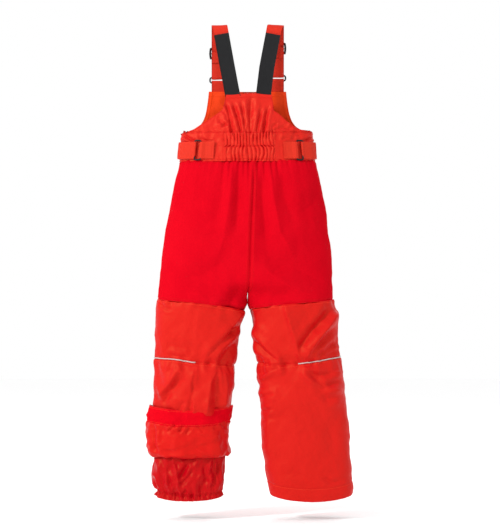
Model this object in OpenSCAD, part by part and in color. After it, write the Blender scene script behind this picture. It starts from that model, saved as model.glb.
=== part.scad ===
// Child's insulated ski bib: hangs from its two shoulder straps, back facing -Y, wearer's left at -X.
// Z is 0 under the strap folds and falls towards the hems. All lengths are millimetres.

/* [Fabric] */
// Thickness of the insulated shell, lining included
shell_t = 4; // [3:0.5:6]
// Thickness of the unpadded bib and gaiter fabric
thin_t = 2; // [1.5:0.5:3]
// Thickness of the hem facing
facing_t = 1.2; // [0.8:0.2:1.6]
// Squareness of the body and leg sections (2 is an ellipse)
section_power = 2.4; // [2:0.1:3]

/* [Straps] */
// Width of the shoulder webbing and the back elastics
strap_w = 30; // [25:1:35]
// Thickness of the webbing
web_t = 1.8; // [1.4:0.1:2.2]
// Inside radius of the strap fold over the shoulder or rail
fold_r = 8; // [6:1:10]
// Distance of each strap's middle from the centre
strap_x = 57; // [52:1:60]
// Width of the waist webbing
waist_web_w = 32; // [28:1:34]

/* [Hardware] */
// Diameter of the wire rings
wire_d = 3.4; // [3:0.2:4]
// Thickness of the tri-glide's bars
glide_t = 2; // [1.6:0.2:2.4]
// Height of the tri-glide
glide_h = 25; // [22:1:28]
// Distance between the middles of two zipper teeth on one tape
tooth_pitch = 4; // [3:0.5:5]

/* [Legs] */
// Height of the hip fold line below the strap folds
hip_z = 412; // [402:1:422]
// Height of the knee fold line below the strap folds
knee_z = 672; // [662:1:682]
// How far the turned-up cuff can roll down
cuff_travel = 90; // [60:5:95]

/* [Hidden] */
$fn = 32;

LEFT = 0;
RIGHT = 1;
gap = 0.4;
// Angle left open at the side and centre seams
side_gap = 0.1;
centre_gap = 0.04;
orange = "#f03a28";
crimson = "#f2061c";
bib_orange = "#f4421a";
black = "#2e2e30";

// Heights down the body
bib_top_z = -131;
back_top_z = -138;
waist_top_z = -217;
waist_bottom_z = -270;
zip_end_z = -312;
crotch_z = -555;
hip_half = 75;
knee_half = 48;
cuff_top_z = -760;
cuff_bottom_z = -858;
hem_z = -931;
hem_sag = 16;

// Outline of the body: [height, distance], left, right, back and front
torso_left = [[-592, -180], [-555, -179], [-504, -175], [-408, -165], [-336, -150], [-270, -136],
    [-217, -131], [0, -131]];
torso_right = [[-592, 175], [-555, 171], [-504, 167], [-408, 160], [-336, 150], [-270, 136], [-217, 131],
    [0, 131]];
back_y = [[-952, -42], [-852, -43], [-672, -46], [-555, -52], [-504, -58], [-412, -60], [-336, -56],
    [-270, -47], [-217, -40], [-138, -20], [0, -20]];
front_y = [[-952, 42], [-852, 43], [-672, 46], [-555, 52], [-412, 56], [zip_end_z, 52], [bib_top_z, 20],
    [0, 20]];
// Outline of each leg: [height, distance]
leg_outer = [
    [[-952, -190], [-762, -190], [-732, -188], [-636, -185], [-588, -183], [-555, -180]],
    [[-952, 210], [-888, 207], [-792, 201], [-732, 195], [-684, 190], [-636, 183], [-588, 179], [-555, 172]]];
leg_inner = [
    [[-952, -39], [-762, -36], [-732, -30], [-684, -27], [-636, -17], [-588, -12], [-555, -1]],
    [[-952, 43], [-888, 35], [-792, 29], [-732, 25], [-684, 24], [-636, 15], [-588, 9], [-555, 1]]];
// Half width of the front bib down its armholes, and of the back panel
front_half = [[-131, 77.5], [-152, 80], [-172, 83], [-187, 88], [-199, 97], [-207, 108], [-212, 119],
    [-216.5, 129]];
back_half = [[-138, 45.5], [-152, 47], [-167, 52], [-182, 66], [-195, 82], [-206, 98], [-213, 112],
    [-216.5, 126]];

strap_at = [-strap_x, strap_x + 1];
glide_z = [-54, -44];
ring_z = [-107, -103];
elastic_top_x = [-52, 51];
elastic_bottom_x = [-28, 31];
ring_h = 14;
ring_w = 40;
wire_r = wire_d / 2;
ring_y = 20.4;
zip_lean = atan((52 - 20) / (-zip_end_z + bib_top_z));
waist_z = -250;
waist_ring_x = [-99, 104];
waist_ring_turn = [-17, 19];
// Lean of the waist's surface under the rings
waist_tilt = 5.7;

function lerp(a, b, t) = a + (b - a) * t;
function smooth(t) = let (c = min(1, max(0, t))) c * c * (3 - 2 * c);
function signed_power(v, e) = sign(v) * pow(abs(v), e);
function torso(z) = [lookup(z, torso_left), lookup(z, torso_right), lookup(z, back_y), lookup(z, front_y)];
function leg(side, z) =
    let (x = [lookup(z, leg_outer[side]), lookup(z, leg_inner[side])])
    [min(x), max(x), lookup(z, back_y), lookup(z, front_y)];
// A point of a section [left, right, back, front], drawn in by an offset
function on_section(s, angle, inset) =
    let (e = 2 / section_power)
    [(s[0] + s[1]) / 2 + ((s[1] - s[0]) / 2 - inset) * signed_power(cos(angle), e),
     (s[2] + s[3]) / 2 + ((s[3] - s[2]) / 2 - inset) * signed_power(sin(angle), e)];
// The body's depth at x, on the front (1) or the back (-1)
function body_y(x, z, face, inset) =
    let (s = torso(z), a = (s[1] - s[0]) / 2, b = (s[3] - s[2]) / 2 - inset)
    (s[2] + s[3]) / 2 + face * b
        * pow(max(0, 1 - pow(min(1, abs(x - (s[0] + s[1]) / 2) / a), section_power)), 1 / section_power);
// Height of each strap ring's upper bar
function bar_z(side) = ring_z[side] + ring_h / 2 - wire_r;
// Lean of a front strap, from the fold to its ring
function strap_lean(side) = atan((ring_y + wire_r + 0.2 - fold_r) / (-bar_z(side) - 1 - fold_r));
// Middle of the front strap's webbing at a height
function strap_y(side, z) = fold_r + web_t / 2 - (z + fold_r) * tan(strap_lean(side));

// A sheet with thickness, between two grids of points; rows fall, columns turn anticlockwise
module sheet(outer, inner, closed = false) {
    rows = len(outer);
    cols = len(outer[0]);
    last = closed ? cols : cols - 1;
    n = rows * cols;
    polyhedron(
        points = [for (g = [outer, inner]) for (r = g) for (p = r) p],
        faces = concat(
            [for (i = [0:rows - 2]) for (j = [0:last - 1])
                let (k = (j + 1) % cols, a = i * cols, b = a + cols)
                each [[a + j, a + k, b + k], [a + j, b + k, b + j],
                    [n + a + j, n + b + k, n + a + k], [n + a + j, n + b + j, n + b + k]]],
            [for (j = [0:last - 1])
                let (k = (j + 1) % cols, b = n - cols)
                each [[n + j, n + k, k], [n + j, k, j],
                    [b + j, b + k, n + b + k], [b + j, n + b + k, n + b + j]]],
            closed ? [] : [for (i = [0:rows - 2])
                let (a = i * cols, b = a + cols, c = cols - 1)
                each [[a, b, n + b], [a, n + b, n + a],
                    [a + c, n + a + c, n + b + c], [a + c, n + b + c, b + c]]]),
        convexity = 4);
}

// Part of the body between two heights and two angles
module torso_sheet(z0, z1, a0, a1, thickness, out = 0, rows = 4, cols = 12) {
    grids = [for (inset = [-out, thickness - out]) [for (i = [0:rows])
        let (z = lerp(z0, z1, i / rows))
        [for (j = [0:cols]) concat(on_section(torso(z), lerp(a0, a1, j / cols), inset), z)]]];
    sheet(grids[0], grids[1]);
}

// Part of a leg between two heights and two angles; the lower edge can dip towards the middle
module leg_sheet(side, z0, z1, a0, a1, thickness, out = 0, rows = 4, cols = 12, dip = 0) {
    closed = a1 - a0 == 360;
    grids = [for (inset = [-out, thickness - out]) [for (i = [0:rows])
        let (z = lerp(z0, z1, i / rows), part = i / rows)
        [for (j = [0:closed ? cols - 1 : cols])
            let (a = lerp(a0, a1, j / cols))
            concat(on_section(leg(side, z), a, inset), z - dip * part * part * abs(sin(a)))]]];
    sheet(grids[0], grids[1], closed);
}

// A ring between two heights from its own outline [height, [left, right, back, front]]
module tube(z0, z1, low, high, thickness, rows = 3, cols = 32, dip = 0, bulge = 0) {
    grids = [for (inset = [0, thickness]) [for (i = [0:rows])
        let (t = i / rows, z = lerp(z0, z1, t), s = lerp(high, low, t), swell = bulge * sin(180 * t))
        [for (j = [0:cols - 1])
            let (a = 360 * j / cols)
            concat(on_section(s, a, inset - swell), z - dip * t * t * abs(sin(a)))]]];
    sheet(grids[0], grids[1], true);
}

// Upper-leg panel: one quarter of the body that turns into half of a leg at the crotch
module thigh_sheet(side, face, rows = 8, cols = 12) {
    z0 = -hip_z - hip_half;
    z1 = -knee_z + knee_half;
    outer_a = side == LEFT ? 180 : (face > 0 ? 0 : 360);
    seam_a = face > 0 ? 90 : 270;
    inner_a = side == LEFT ? (face > 0 ? 0 : 360) : 180;
    turn = outer_a < seam_a;
    grids = [for (inset = [0, shell_t]) [for (i = [0:rows])
        let (z = lerp(z0, z1, i / rows), t = smooth((-507 - z) / 60))
        [for (j = [0:cols])
            let (u = turn ? j / cols : 1 - j / cols,
                 p = on_section(torso(z), lerp(outer_a, seam_a, lerp(0.001, 0.9995, u)), inset),
                 q = on_section(leg(side, min(z, crotch_z)),
                     lerp(outer_a, inner_a, lerp(0.001, 0.999, u)), inset))
            concat(lerp(p, q, t), z)]]];
    sheet(grids[0], grids[1]);
}

// A panel across the front (1) or back (-1) of the bib, its half width given down its height
module bib_sheet(half, face, thickness, cols = 14) {
    grids = [for (inset = [0, thickness]) [for (r = half)
        [for (j = [0:cols])
            let (x = face * r[1] * (2 * j / cols - 1))
            [-x, body_y(x, r[0], face, inset), r[0]]]]];
    sheet(grids[0], grids[1]);
}

// Outline of a ribbon of even thickness along a path in the Y-Z plane
function ribbon_outline(path, t) =
    let (n = len(path),
         normal = [for (i = [0:n - 1])
             let (d = path[min(i + 1, n - 1)] - path[max(i - 1, 0)])
             [-d[1], d[0]] / norm(d) * t / 2])
    concat([for (i = [0:n - 1]) path[i] + normal[i]],
        [for (i = [n - 1:-1:0]) path[i] - normal[i]]);
function arc(centre, r, a0, a1, n) =
    [for (i = [0:n]) let (a = lerp(a0, a1, i / n)) centre + r * [cos(a), sin(a)]];
module ribbon(x, width, path, t) {
    translate([x - width / 2, 0, 0])
        rotate([90, 0, 90])
            linear_extrude(width) polygon(ribbon_outline(path, t));
}

// A rectangular ring of round wire, upright in the X-Z plane
module wire_ring(width, height) {
    for (s = [-1, 1]) {
        translate([s * (width / 2 - wire_r), 0, 0])
            cylinder(r = wire_r, h = height - wire_d, center = true);
        translate([0, 0, s * (height / 2 - wire_r)])
            rotate([0, 90, 0]) cylinder(r = wire_r, h = width - wire_d, center = true);
        for (c = [-1, 1])
            translate([s * (width / 2 - wire_r), 0, c * (height / 2 - wire_r)]) sphere(r = wire_r);
    }
}

module front_bib() {
    color(bib_orange) bib_sheet(front_half, 1, thin_t);
}
module back_bib() {
    color(orange) bib_sheet(back_half, -1, thin_t);
}
module front_waist() {
    color(bib_orange)
        torso_sheet(waist_top_z - gap, waist_bottom_z, side_gap, 180 - side_gap, shell_t,
            cols = 24, rows = 3);
}
module shirred_waist() {
    color(orange) torso_sheet(waist_top_z - gap, waist_bottom_z, 253.7, 289.7, shell_t, cols = 16, rows = 3);
}
module waist_yoke(side) {
    a = [[180 + side_gap, 253.6], [289.8, 360 - side_gap]][side];
    color(orange) torso_sheet(waist_top_z - gap, waist_bottom_z, a[0], a[1], shell_t, rows = 3);
}
module seat_panel(side, face) {
    outer_a = side == LEFT ? 180 - face * side_gap : (face > 0 ? side_gap : 360 - side_gap);
    seam_a = (face > 0 ? 90 : 270) + (side == LEFT ? face : -face) * centre_gap;
    color(crimson) torso_sheet(waist_bottom_z - gap, -hip_z + hip_half, min(outer_a, seam_a),
        max(outer_a, seam_a), shell_t, rows = 3, cols = 10);
}
module hip_band() {
    color(crimson) torso_ring(-hip_z + hip_half - gap, -hip_z - hip_half + gap);
}
// The whole way round the body
module torso_ring(z0, z1, rows = 6, cols = 40) {
    grids = [for (inset = [0, shell_t]) [for (i = [0:rows])
        let (z = lerp(z0, z1, i / rows))
        [for (j = [0:cols - 1]) concat(on_section(torso(z), 360 * j / cols, inset), z)]]];
    sheet(grids[0], grids[1], true);
}
module thigh_panel(side, face) {
    color(face < 0 ? crimson : "#ea1220") thigh_sheet(side, face);
}
module knee_band(side) {
    color(orange)
        leg_sheet(side, -knee_z + knee_half - gap, -knee_z - knee_half + gap, 0, 360, shell_t,
            rows = 4, cols = 32);
}
module knee_piping(side) {
    a0 = [182, 272][side];
    color("#d8c4c4")
        leg_sheet(side, -knee_z + 4, -knee_z + 0.8, a0, a0 + 86, 1.2, out = 1.6, rows = 1, cols = 10);
}
module shin_panel(side, face) {
    bottom = side == LEFT ? cuff_bottom_z + 8 : hem_z;
    a0 = (face > 0 ? 0 : 180) + side_gap;
    color(orange) leg_sheet(side, -knee_z - knee_half, bottom, a0, a0 + 180 - 2 * side_gap, shell_t,
        rows = 5, cols = 14, dip = side == LEFT ? 0 : hem_sag);
}

gaiter_high = [[-178, -52, -32, 32], [45, 193, -35, 35]];
gaiter_low = [[-187, -50, -38, 38], [50, 196, -33, 33]];
gaiter_z = [-928, -920];
gaiter_dip = [14, 10];
module gaiter(side) {
    color("#d8000f") tube(-807, gaiter_z[side], gaiter_low[side], gaiter_high[side], thin_t, rows = 5,
        dip = gaiter_dip[side], bulge = [4, 1][side]);
}
module gaiter_elastic(side) {
    s = gaiter_low[side] + [1, -1, 1, -1] * (thin_t + gap);
    color(black) tube(gaiter_z[side] + 9, gaiter_z[side], s, s, 1, rows = 1, dip = gaiter_dip[side]);
}
cuff_high = [-197, -30.5, -50, 50];
cuff_low = [-200, -33, -51, 51];
module cuff_left() {
    color(orange) tube(cuff_top_z, cuff_bottom_z, cuff_low, cuff_high, shell_t, rows = 5, bulge = 2.5);
}
module cuff_facing_left() {
    s = [for (z = [cuff_top_z, cuff_top_z - 32])
        lerp(cuff_high, cuff_low, (z - cuff_top_z) / (cuff_bottom_z - cuff_top_z)) + [-1, 1, -1, 1] * 1.7];
    color(crimson) tube(cuff_top_z, cuff_top_z - 32, s[1] + [-1, 1, -1, 1] * 2.1, s[0], facing_t, rows = 2);
}
module hem_facing_right() {
    color(crimson) leg_sheet(RIGHT, hem_z + 36, hem_z, 0, 360, facing_t, out = -shell_t - gap,
        rows = 2, cols = 32, dip = hem_sag);
}

// Over the shoulder, down the front and round the ring's upper bar
module shoulder_strap(side) {
    loop_r = wire_r + 0.2 + web_t / 2;
    path = concat(
        [[-fold_r - web_t / 2 - 1.6, -26]],
        arc([0, -fold_r], fold_r + web_t / 2, 180, 0, 12),
        [[ring_y + loop_r, bar_z(side) + 1]],
        arc([ring_y, bar_z(side)], loop_r, 0, -180, 8),
        [[ring_y - loop_r, bar_z(side) + 1]]);
    color("#ff3b26") ribbon(strap_at[side], strap_w, path, web_t);
}
// The sewn end: from the ring up to the tri-glide's middle bar, round it and down to its stitches
module strap_end(side) {
    loop_r = wire_r + 0.2 + web_t / 2;
    z = glide_z[side];
    bar_y = glide_bar_y(side);
    turn_r = glide_t / 2 + 0.15 + web_t / 2;
    path = concat(
        [[ring_y - loop_r, bar_z(side) + 1.2], [bar_y + turn_r, z - 3]],
        arc([bar_y, z], turn_r, 0, 180, 8),
        [[bar_y - turn_r + 0.6, z - 5], [bar_y + turn_r - web_t + 0.35, z - 18]]);
    color("#ff3b26") ribbon(strap_at[side], strap_w, path, web_t);
}
function glide_bar_y(side) = strap_y(side, glide_z[side]) - web_t * 1.5 - 0.4 - glide_t / 2;
module tri_glide(side) {
    z = glide_z[side];
    back = -web_t * 1.5 - 0.4 - glide_t;
    front = web_t / 2 + 0.25 + glide_t;
    color(black)
        translate([strap_at[side], strap_y(side, z), z])
            rotate([strap_lean(side), 0, 0])
                union() {
                    for (s = [-1, 1]) {
                        translate([s * (strap_w / 2 + 2.5), (front + back) / 2, 0])
                            cube([3.8, front - back, glide_h], center = true);
                        translate([0, front - glide_t / 2, s * (glide_h / 2 - 1.6)])
                            cube([strap_w + 4, glide_t, 3.2], center = true);
                    }
                    translate([0, back + glide_t / 2, 0]) rotate([0, 90, 0])
                        cylinder(r = glide_t / 2, h = strap_w + 4, center = true);
                }
}
// Straight down from the strap, then sewn along the inside of the back bib
module back_elastic(side) {
    path = [[-fold_r - web_t * 2 - 1.8, -18], [elastic_y(-137), -137], [elastic_y(-150), -150]];
    grids = [for (o = [-1, 1]) [for (p = path)
        let (x = lerp(elastic_top_x[side], elastic_bottom_x[side], (p[1] + 18) / (-150 + 18)))
        [for (s = [-1, 1]) [x + s * strap_w / 2, p[0] + o * web_t / 2, p[1]]]]];
    color(black) sheet(grids[0], grids[1]);
}
function elastic_y(z) = body_y(46, z, -1, thin_t) + gap + web_t / 2;
module strap_ring(side) {
    color("#3a3a3c") translate([strap_at[side], ring_y, ring_z[side]]) wire_ring(ring_w, ring_h);
}
// Middle of the tab's inner layer, on the outside of the front bib
function tab_y(z) = body_y(strap_x - strap_w / 2, z, 1, 0) + gap + web_t / 2;
module strap_tab(side) {
    bar_z = ring_z[side] - ring_h / 2 + wire_r;
    loop_r = wire_r + 0.2 + web_t / 2;
    under_z = bib_top_z - 2;
    end_z = bib_top_z - 18;
    path = concat(
        [[tab_y(end_z) + web_t + 0.2, end_z], [tab_y(under_z) + web_t + 0.2, under_z]],
        arc([ring_y, bar_z], loop_r, 0, 180, 8),
        [[tab_y(under_z), under_z], [tab_y(end_z), end_z]]);
    color("#ff3b26") ribbon(strap_at[side], strap_w, path, web_t);
}

function ring_at(side) = [waist_ring_x[side], body_y(waist_ring_x[side], waist_z, -1, 0) - wire_r - 2.3];
module at_waist_ring(side) {
    at = ring_at(side);
    translate([at[0], at[1], waist_z]) rotate([-waist_tilt, 0, waist_ring_turn[side]]) children();
}
module waist_ring(side) {
    color(black) at_waist_ring(side) wire_ring(16, 41);
}
// A point off the waist's surface, towards its middle from a ring, in that ring's own plane
function off_waist(side, along, away) =
    let (c = ring_at(side), s = side == LEFT ? 1 : -1, x = c[0] + s * along, t = -waist_ring_turn[side],
         d = [x - c[0], body_y(x, waist_z, -1, 0) - away - c[1]])
    [d[0] * cos(t) - d[1] * sin(t), d[0] * sin(t) + d[1] * cos(t)];
// Loop of webbing from the body over the ring's inner bar
module waist_anchor(side) {
    s = side == LEFT ? 1 : -1;
    r = wire_r + 0.2 + web_t / 2;
    near = gap + web_t / 2 + 0.3;
    path = concat(
        [for (d = [34, 24, 14]) off_waist(side, d, near)],
        [for (i = [0:10]) let (a = 80 + i * 22) [s * (8 - wire_r + r * cos(a)), r * sin(a)]],
        [for (d = [14, 24, 34]) off_waist(side, d, near + web_t + 0.3)]);
    color(orange) at_waist_ring(side)
        translate([0, 0, -waist_web_w / 2]) linear_extrude(waist_web_w) polygon(ribbon_outline(path, web_t));
}
// Base layer: from the ring round the side to the front
module waist_strap(side) {
    a = [[140, 219], [324.5, 400]][side];
    color("#f23a22") torso_sheet(waist_z + waist_web_w / 2, waist_z - waist_web_w / 2, a[0], a[1], web_t,
        out = web_t + gap, rows = 1, cols = 18);
}
// Free end with the hook patch, turned back over the base layer from the ring's outer bar
module waist_flap(side) {
    a = [[187, 218], [322, 353]][side];
    color("#f4402a") torso_sheet(waist_z + waist_web_w / 2, waist_z - waist_web_w / 2, a[0], a[1], web_t,
        out = web_t * 2 + gap * 3, rows = 1, cols = 8);
}

module on_zip(z) {
    translate([0, lookup(z, front_y), z]) rotate([zip_lean, 0, 0]) children();
}
zip_top = bib_top_z - 5;
zip_length = (zip_top - zip_end_z) / cos(zip_lean);
module zipper_tapes() {
    color("#e62a1c") on_zip(zip_top) for (s = [-1, 1])
        translate([s * 6.4 - 6, gap, -zip_length]) cube([12, 0.8, zip_length]);
}
module zipper_teeth(side) {
    s = side == LEFT ? -1 : 1;
    count = floor((zip_length - 8) / tooth_pitch);
    color("#c81a14") on_zip(zip_top) for (i = [0:count - 1])
        translate([s * 1.5 - 1.4, gap + 0.8, -6 - (i + 0.5 * side) * tooth_pitch])
            cube([2.8, 2, tooth_pitch * 0.42]);
}
module zipper_stops() {
    color("#c81a14") on_zip(zip_top) {
        translate([-4, gap + 0.8, -zip_length + 0.5]) cube([8, 2.2, 4]);
        for (s = [-1, 1])
            translate([s * 2.6 - 1.4, gap + 0.8, -2.4]) cube([2.8, 1.8, 2.2]);
    }
}
slider_z = 14;
module zipper_slider() {
    color("#c9ccd0") on_zip(zip_top) translate([0, 0, -slider_z]) {
        translate([-4.6, gap + 3.2, -7]) cube([9.2, 1.6, 14]);
        for (s = [-1, 1])
            translate([s * 4.1 - 0.5, gap + 1.2, -7]) cube([1, 2.1, 14]);
        difference() {
            translate([-1.5, gap + 4.7, -4]) cube([3, 3.4, 8]);
            translate([-2, gap + 6.2, 0]) rotate([0, 90, 0]) cylinder(r = 1.1, h = 4);
        }
    }
}
module zipper_pull() {
    color("#b01410") on_zip(zip_top) translate([0, gap + 6.2, -slider_z]) {
        rotate([0, 90, 0]) cylinder(r = 0.8, h = 8, center = true);
        for (s = [-1, 1])
            translate([s * 3.4 - 0.8, -0.8, -10]) cube([1.6, 1.6, 10]);
        translate([-4.2, -0.9, -34]) cube([8.4, 1.8, 24.2]);
    }
}

front_bib();
back_bib();
front_waist();
shirred_waist();
waist_yoke(LEFT);  // waist_yoke_left
waist_yoke(RIGHT);  // waist_yoke_right
seat_panel(LEFT, -1);  // seat_back_left
seat_panel(RIGHT, -1);  // seat_back_right
seat_panel(LEFT, 1);  // seat_front_left
seat_panel(RIGHT, 1);  // seat_front_right
shoulder_strap(LEFT);  // shoulder_strap_left
shoulder_strap(RIGHT);  // shoulder_strap_right
back_elastic(LEFT);  // back_elastic_left
back_elastic(RIGHT);  // back_elastic_right
strap_ring(LEFT);  // strap_ring_left
strap_ring(RIGHT);  // strap_ring_right
strap_tab(LEFT);  // strap_tab_left
strap_tab(RIGHT);  // strap_tab_right
waist_ring(LEFT);  // waist_ring_left
waist_ring(RIGHT);  // waist_ring_right
waist_anchor(LEFT);  // waist_anchor_left
waist_anchor(RIGHT);  // waist_anchor_right
waist_strap(LEFT);  // waist_strap_left
waist_strap(RIGHT);  // waist_strap_right
zipper_tapes();
zipper_teeth(LEFT);  // zipper_teeth_left
zipper_teeth(RIGHT);  // zipper_teeth_right
zipper_stops();
zipper_slider();
zipper_pull();
tri_glide(LEFT);  // tri_glide_left
tri_glide(RIGHT);  // tri_glide_right
strap_end(LEFT);  // strap_end_left
strap_end(RIGHT);  // strap_end_right
waist_flap(LEFT);  // waist_flap_left
waist_flap(RIGHT);  // waist_flap_right
hip_band();
thigh_panel(LEFT, -1);  // thigh_back_left
thigh_panel(RIGHT, -1);  // thigh_back_right
thigh_panel(LEFT, 1);  // thigh_front_left
thigh_panel(RIGHT, 1);  // thigh_front_right
knee_band(LEFT);  // knee_band_left
knee_band(RIGHT);  // knee_band_right
knee_piping(LEFT);  // knee_piping_left
knee_piping(RIGHT);  // knee_piping_right
shin_panel(LEFT, -1);  // shin_back_left
shin_panel(LEFT, 1);  // shin_front_left
gaiter(LEFT);  // gaiter_left
gaiter_elastic(LEFT);  // gaiter_elastic_left
cuff_left();
cuff_facing_left();
shin_panel(RIGHT, -1);  // shin_back_right
shin_panel(RIGHT, 1);  // shin_front_right
gaiter(RIGHT);  // gaiter_right
gaiter_elastic(RIGHT);  // gaiter_elastic_right
hem_facing_right();
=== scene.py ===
"""Child's insulated ski bib, seen from the back, hanging from its straps: cloth, webbing and hardware."""
import math

import bpy
import numpy as np
from mathutils import Matrix, Vector


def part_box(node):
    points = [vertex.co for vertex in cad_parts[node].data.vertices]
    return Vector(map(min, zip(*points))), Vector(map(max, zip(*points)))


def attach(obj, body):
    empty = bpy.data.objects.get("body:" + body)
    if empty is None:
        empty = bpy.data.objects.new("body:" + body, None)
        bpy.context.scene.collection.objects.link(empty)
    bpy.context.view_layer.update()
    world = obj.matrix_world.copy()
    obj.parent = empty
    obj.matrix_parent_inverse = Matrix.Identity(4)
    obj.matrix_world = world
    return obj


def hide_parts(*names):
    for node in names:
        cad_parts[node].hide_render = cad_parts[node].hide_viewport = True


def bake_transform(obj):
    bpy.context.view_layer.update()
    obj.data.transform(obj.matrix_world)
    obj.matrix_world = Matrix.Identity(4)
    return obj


MM = 0.001
# Heights in this file are from a datum this far below the frame's own zero, in mm
DATUM = 8.0
LEFT, RIGHT = 0, 1
SIDES = ("left", "right")

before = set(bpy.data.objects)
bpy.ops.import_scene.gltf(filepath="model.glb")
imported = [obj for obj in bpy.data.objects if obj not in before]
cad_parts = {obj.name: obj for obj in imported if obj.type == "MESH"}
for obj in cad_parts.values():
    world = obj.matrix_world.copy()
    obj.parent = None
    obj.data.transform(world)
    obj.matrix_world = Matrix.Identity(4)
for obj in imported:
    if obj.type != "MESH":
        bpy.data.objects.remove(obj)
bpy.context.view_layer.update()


def high(node):
    """Top of a CAD node, in millimetres."""
    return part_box(node)[1][2] / MM - DATUM


def low(node):
    """Bottom of a CAD node, in millimetres."""
    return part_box(node)[0][2] / MM - DATUM


def at_height(z):
    return (0, 0, (z + DATUM) * MM)


def piece(obj, slot, *nodes, body=None, bend=None):
    """Hands a finished mesh to the frame: the CAD nodes it stands for are hidden, and it goes on the body
    that moves it or stays fixed where it is. Its slot and bend are not used.
    """
    obj.data.transform(Matrix.Translation(at_height(0)))
    if nodes:
        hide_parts(*nodes)
    if body:
        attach(obj, body)
    else:
        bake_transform(obj)


# ---------------------------------------------------------------- heights, from the frame, in mm

WAIST_LOW = low("front_waist")
HIP_HIGH = low("seat_back_left")
HIP_LOW = high("thigh_back_left")
KNEE_HIGH = high("knee_band_left")
KNEE_LOW = low("knee_band_left")
CROTCH = -563.0
CUFF_TOP = high("cuff_left")
CUFF_LOW = low("cuff_left")
HEM = -939.0

# ---------------------------------------------------------------- outlines: (height, distance), mm

# The widths are readings taken down the garment's outline, in mm. The depths are guesses.

BODY_LEFT = [(-600, -181), (-563, -179.5), (-536, -177.5), (-512, -175), (-464, -171), (-440, -168),
             (-416, -164),
             (-392, -159), (-368, -155), (-344, -150.5), (-308, -143), (-284, -137.5), (-272, -136), (-248,
                                                                                                      -134),
             (-225, -132), (-140, -131)]
BODY_RIGHT = [(-600, 175), (-563, 171.5), (-536, 171), (-512, 168), (-464, 167), (-416, 160.5), (-392, 158.5),
              (-368, 155), (-344, 150.5), (-308, 143), (-284, 137.5), (-272, 135.5), (-248, 132.5), (-225,
                                                                                                     130),
              (-140, 131)]
BACK = [(-960, -42), (-860, -43), (-680, -46), (-563, -52), (-512, -58), (-420, -60), (-344, -56),
        (-278, -47),
        (-225, -40), (-146, -20), (-120, -18)]
FRONT = [(-960, 42), (-860, 43), (-680, 46), (-563, 52), (-420, 56), (-320, 52), (-300, 48.4), (-220, 34.3),
         (-139, 20), (-120, 17)]
OUTER = [
    [(-960, -189), (-870, -189), (-770, -189), (-740, -187), (-716, -188.5), (-692, -187), (-668, -186.5),
     (-644, -185), (-596, -183), (-563, -180)],
    [(-960, 210), (-935, 210), (-896, 207.5), (-848, 203.5), (-800, 201), (-764, 197), (-740, 195),
     (-716, 193),
     (-692, 190), (-668, 186), (-644, 183), (-596, 178.5), (-563, 172)],
]
INNER = [
    [(-960, -40), (-870, -38), (-770, -35.5), (-740, -30), (-716, -27.5), (-692, -27), (-668, -23),
     (-644, -17.5),
     (-620, -16), (-596, -12.5), (-572, -7), (-563, -1.2)],
    [(-960, 46), (-941, 43.5), (-896, 36), (-848, 32.5), (-800, 29), (-764, 28), (-740, 24.5), (-716, 25.5),
     (-692, 24), (-668, 20.5), (-644, 15), (-620, 13), (-596, 9), (-572, 3.5), (-563, 0.8)],
]
# The centre-back seam drifts across as it falls
BACK_SEAM = [(-600, -1), (-563, -1), (-510, 5), (-420, 8), (-278, 13), (-120, 0)]
# Crimson panels end here, lower at the inside of the leg
SEAT_SEAM = [(-554.0, -579.0), (-556.0, -576.0)]
SQUARENESS = 2.4


def table_curve(table):
    """A smooth curve through a table that never overshoots it."""
    pts = sorted(table)
    x = np.array([p[0] for p in pts], float)
    y = np.array([p[1] for p in pts], float)
    h = np.diff(x)
    s = np.diff(y) / h
    m = np.zeros_like(y)
    same = s[:-1] * s[1:] > 0
    m[1:-1][same] = 2 * s[:-1][same] * s[1:][same] / (s[:-1] + s[1:])[same]
    m[0], m[-1] = s[0], s[-1]

    def at(q):
        q = np.clip(np.asarray(q, float), x[0], x[-1])
        i = np.clip(np.searchsorted(x, q) - 1, 0, len(h) - 1)
        t = (q - x[i]) / h[i]
        a, b = 2 * t**3 - 3 * t**2 + 1, t**3 - 2 * t**2 + t
        c, d = -2 * t**3 + 3 * t**2, t**3 - t**2
        return a * y[i] + b * h[i] * m[i] + c * y[i + 1] + d * h[i] * m[i + 1]

    return at


body_left, body_right, back_at, front_at, back_seam = map(
    table_curve, (BODY_LEFT, BODY_RIGHT, BACK, FRONT, BACK_SEAM))
outer_at = [table_curve(t) for t in OUTER]
inner_at = [table_curve(t) for t in INNER]


def smooth(t):
    """0 to 1 with level ends, for t from 0 to 1."""
    t = np.clip(t, 0, 1)
    return t * t * (3 - 2 * t)


def bell(away, width):
    return np.exp(-(away / width) ** 2)


def around(sides, angles):
    """Points of a squarish oval [left, right, back, front] at angles in degrees."""
    left, right, back, front = sides
    c, s = np.cos(np.radians(angles)), np.sin(np.radians(angles))
    e = 2 / SQUARENESS
    x = (left + right) / 2 + (right - left) / 2 * np.sign(c) * np.abs(c) ** e
    y = (back + front) / 2 + (front - back) / 2 * np.sign(s) * np.abs(s) ** e
    return np.stack([x, y], -1)


def evenly(points, count):
    """The same line, with its points spread evenly."""
    steps = np.linalg.norm(np.diff(points, axis=0), axis=1)
    run = np.concatenate([[0], np.cumsum(steps)])
    want = np.linspace(0, run[-1], count)
    return np.stack([np.interp(want, run, points[:, k]) for k in range(points.shape[1])], -1)


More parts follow.
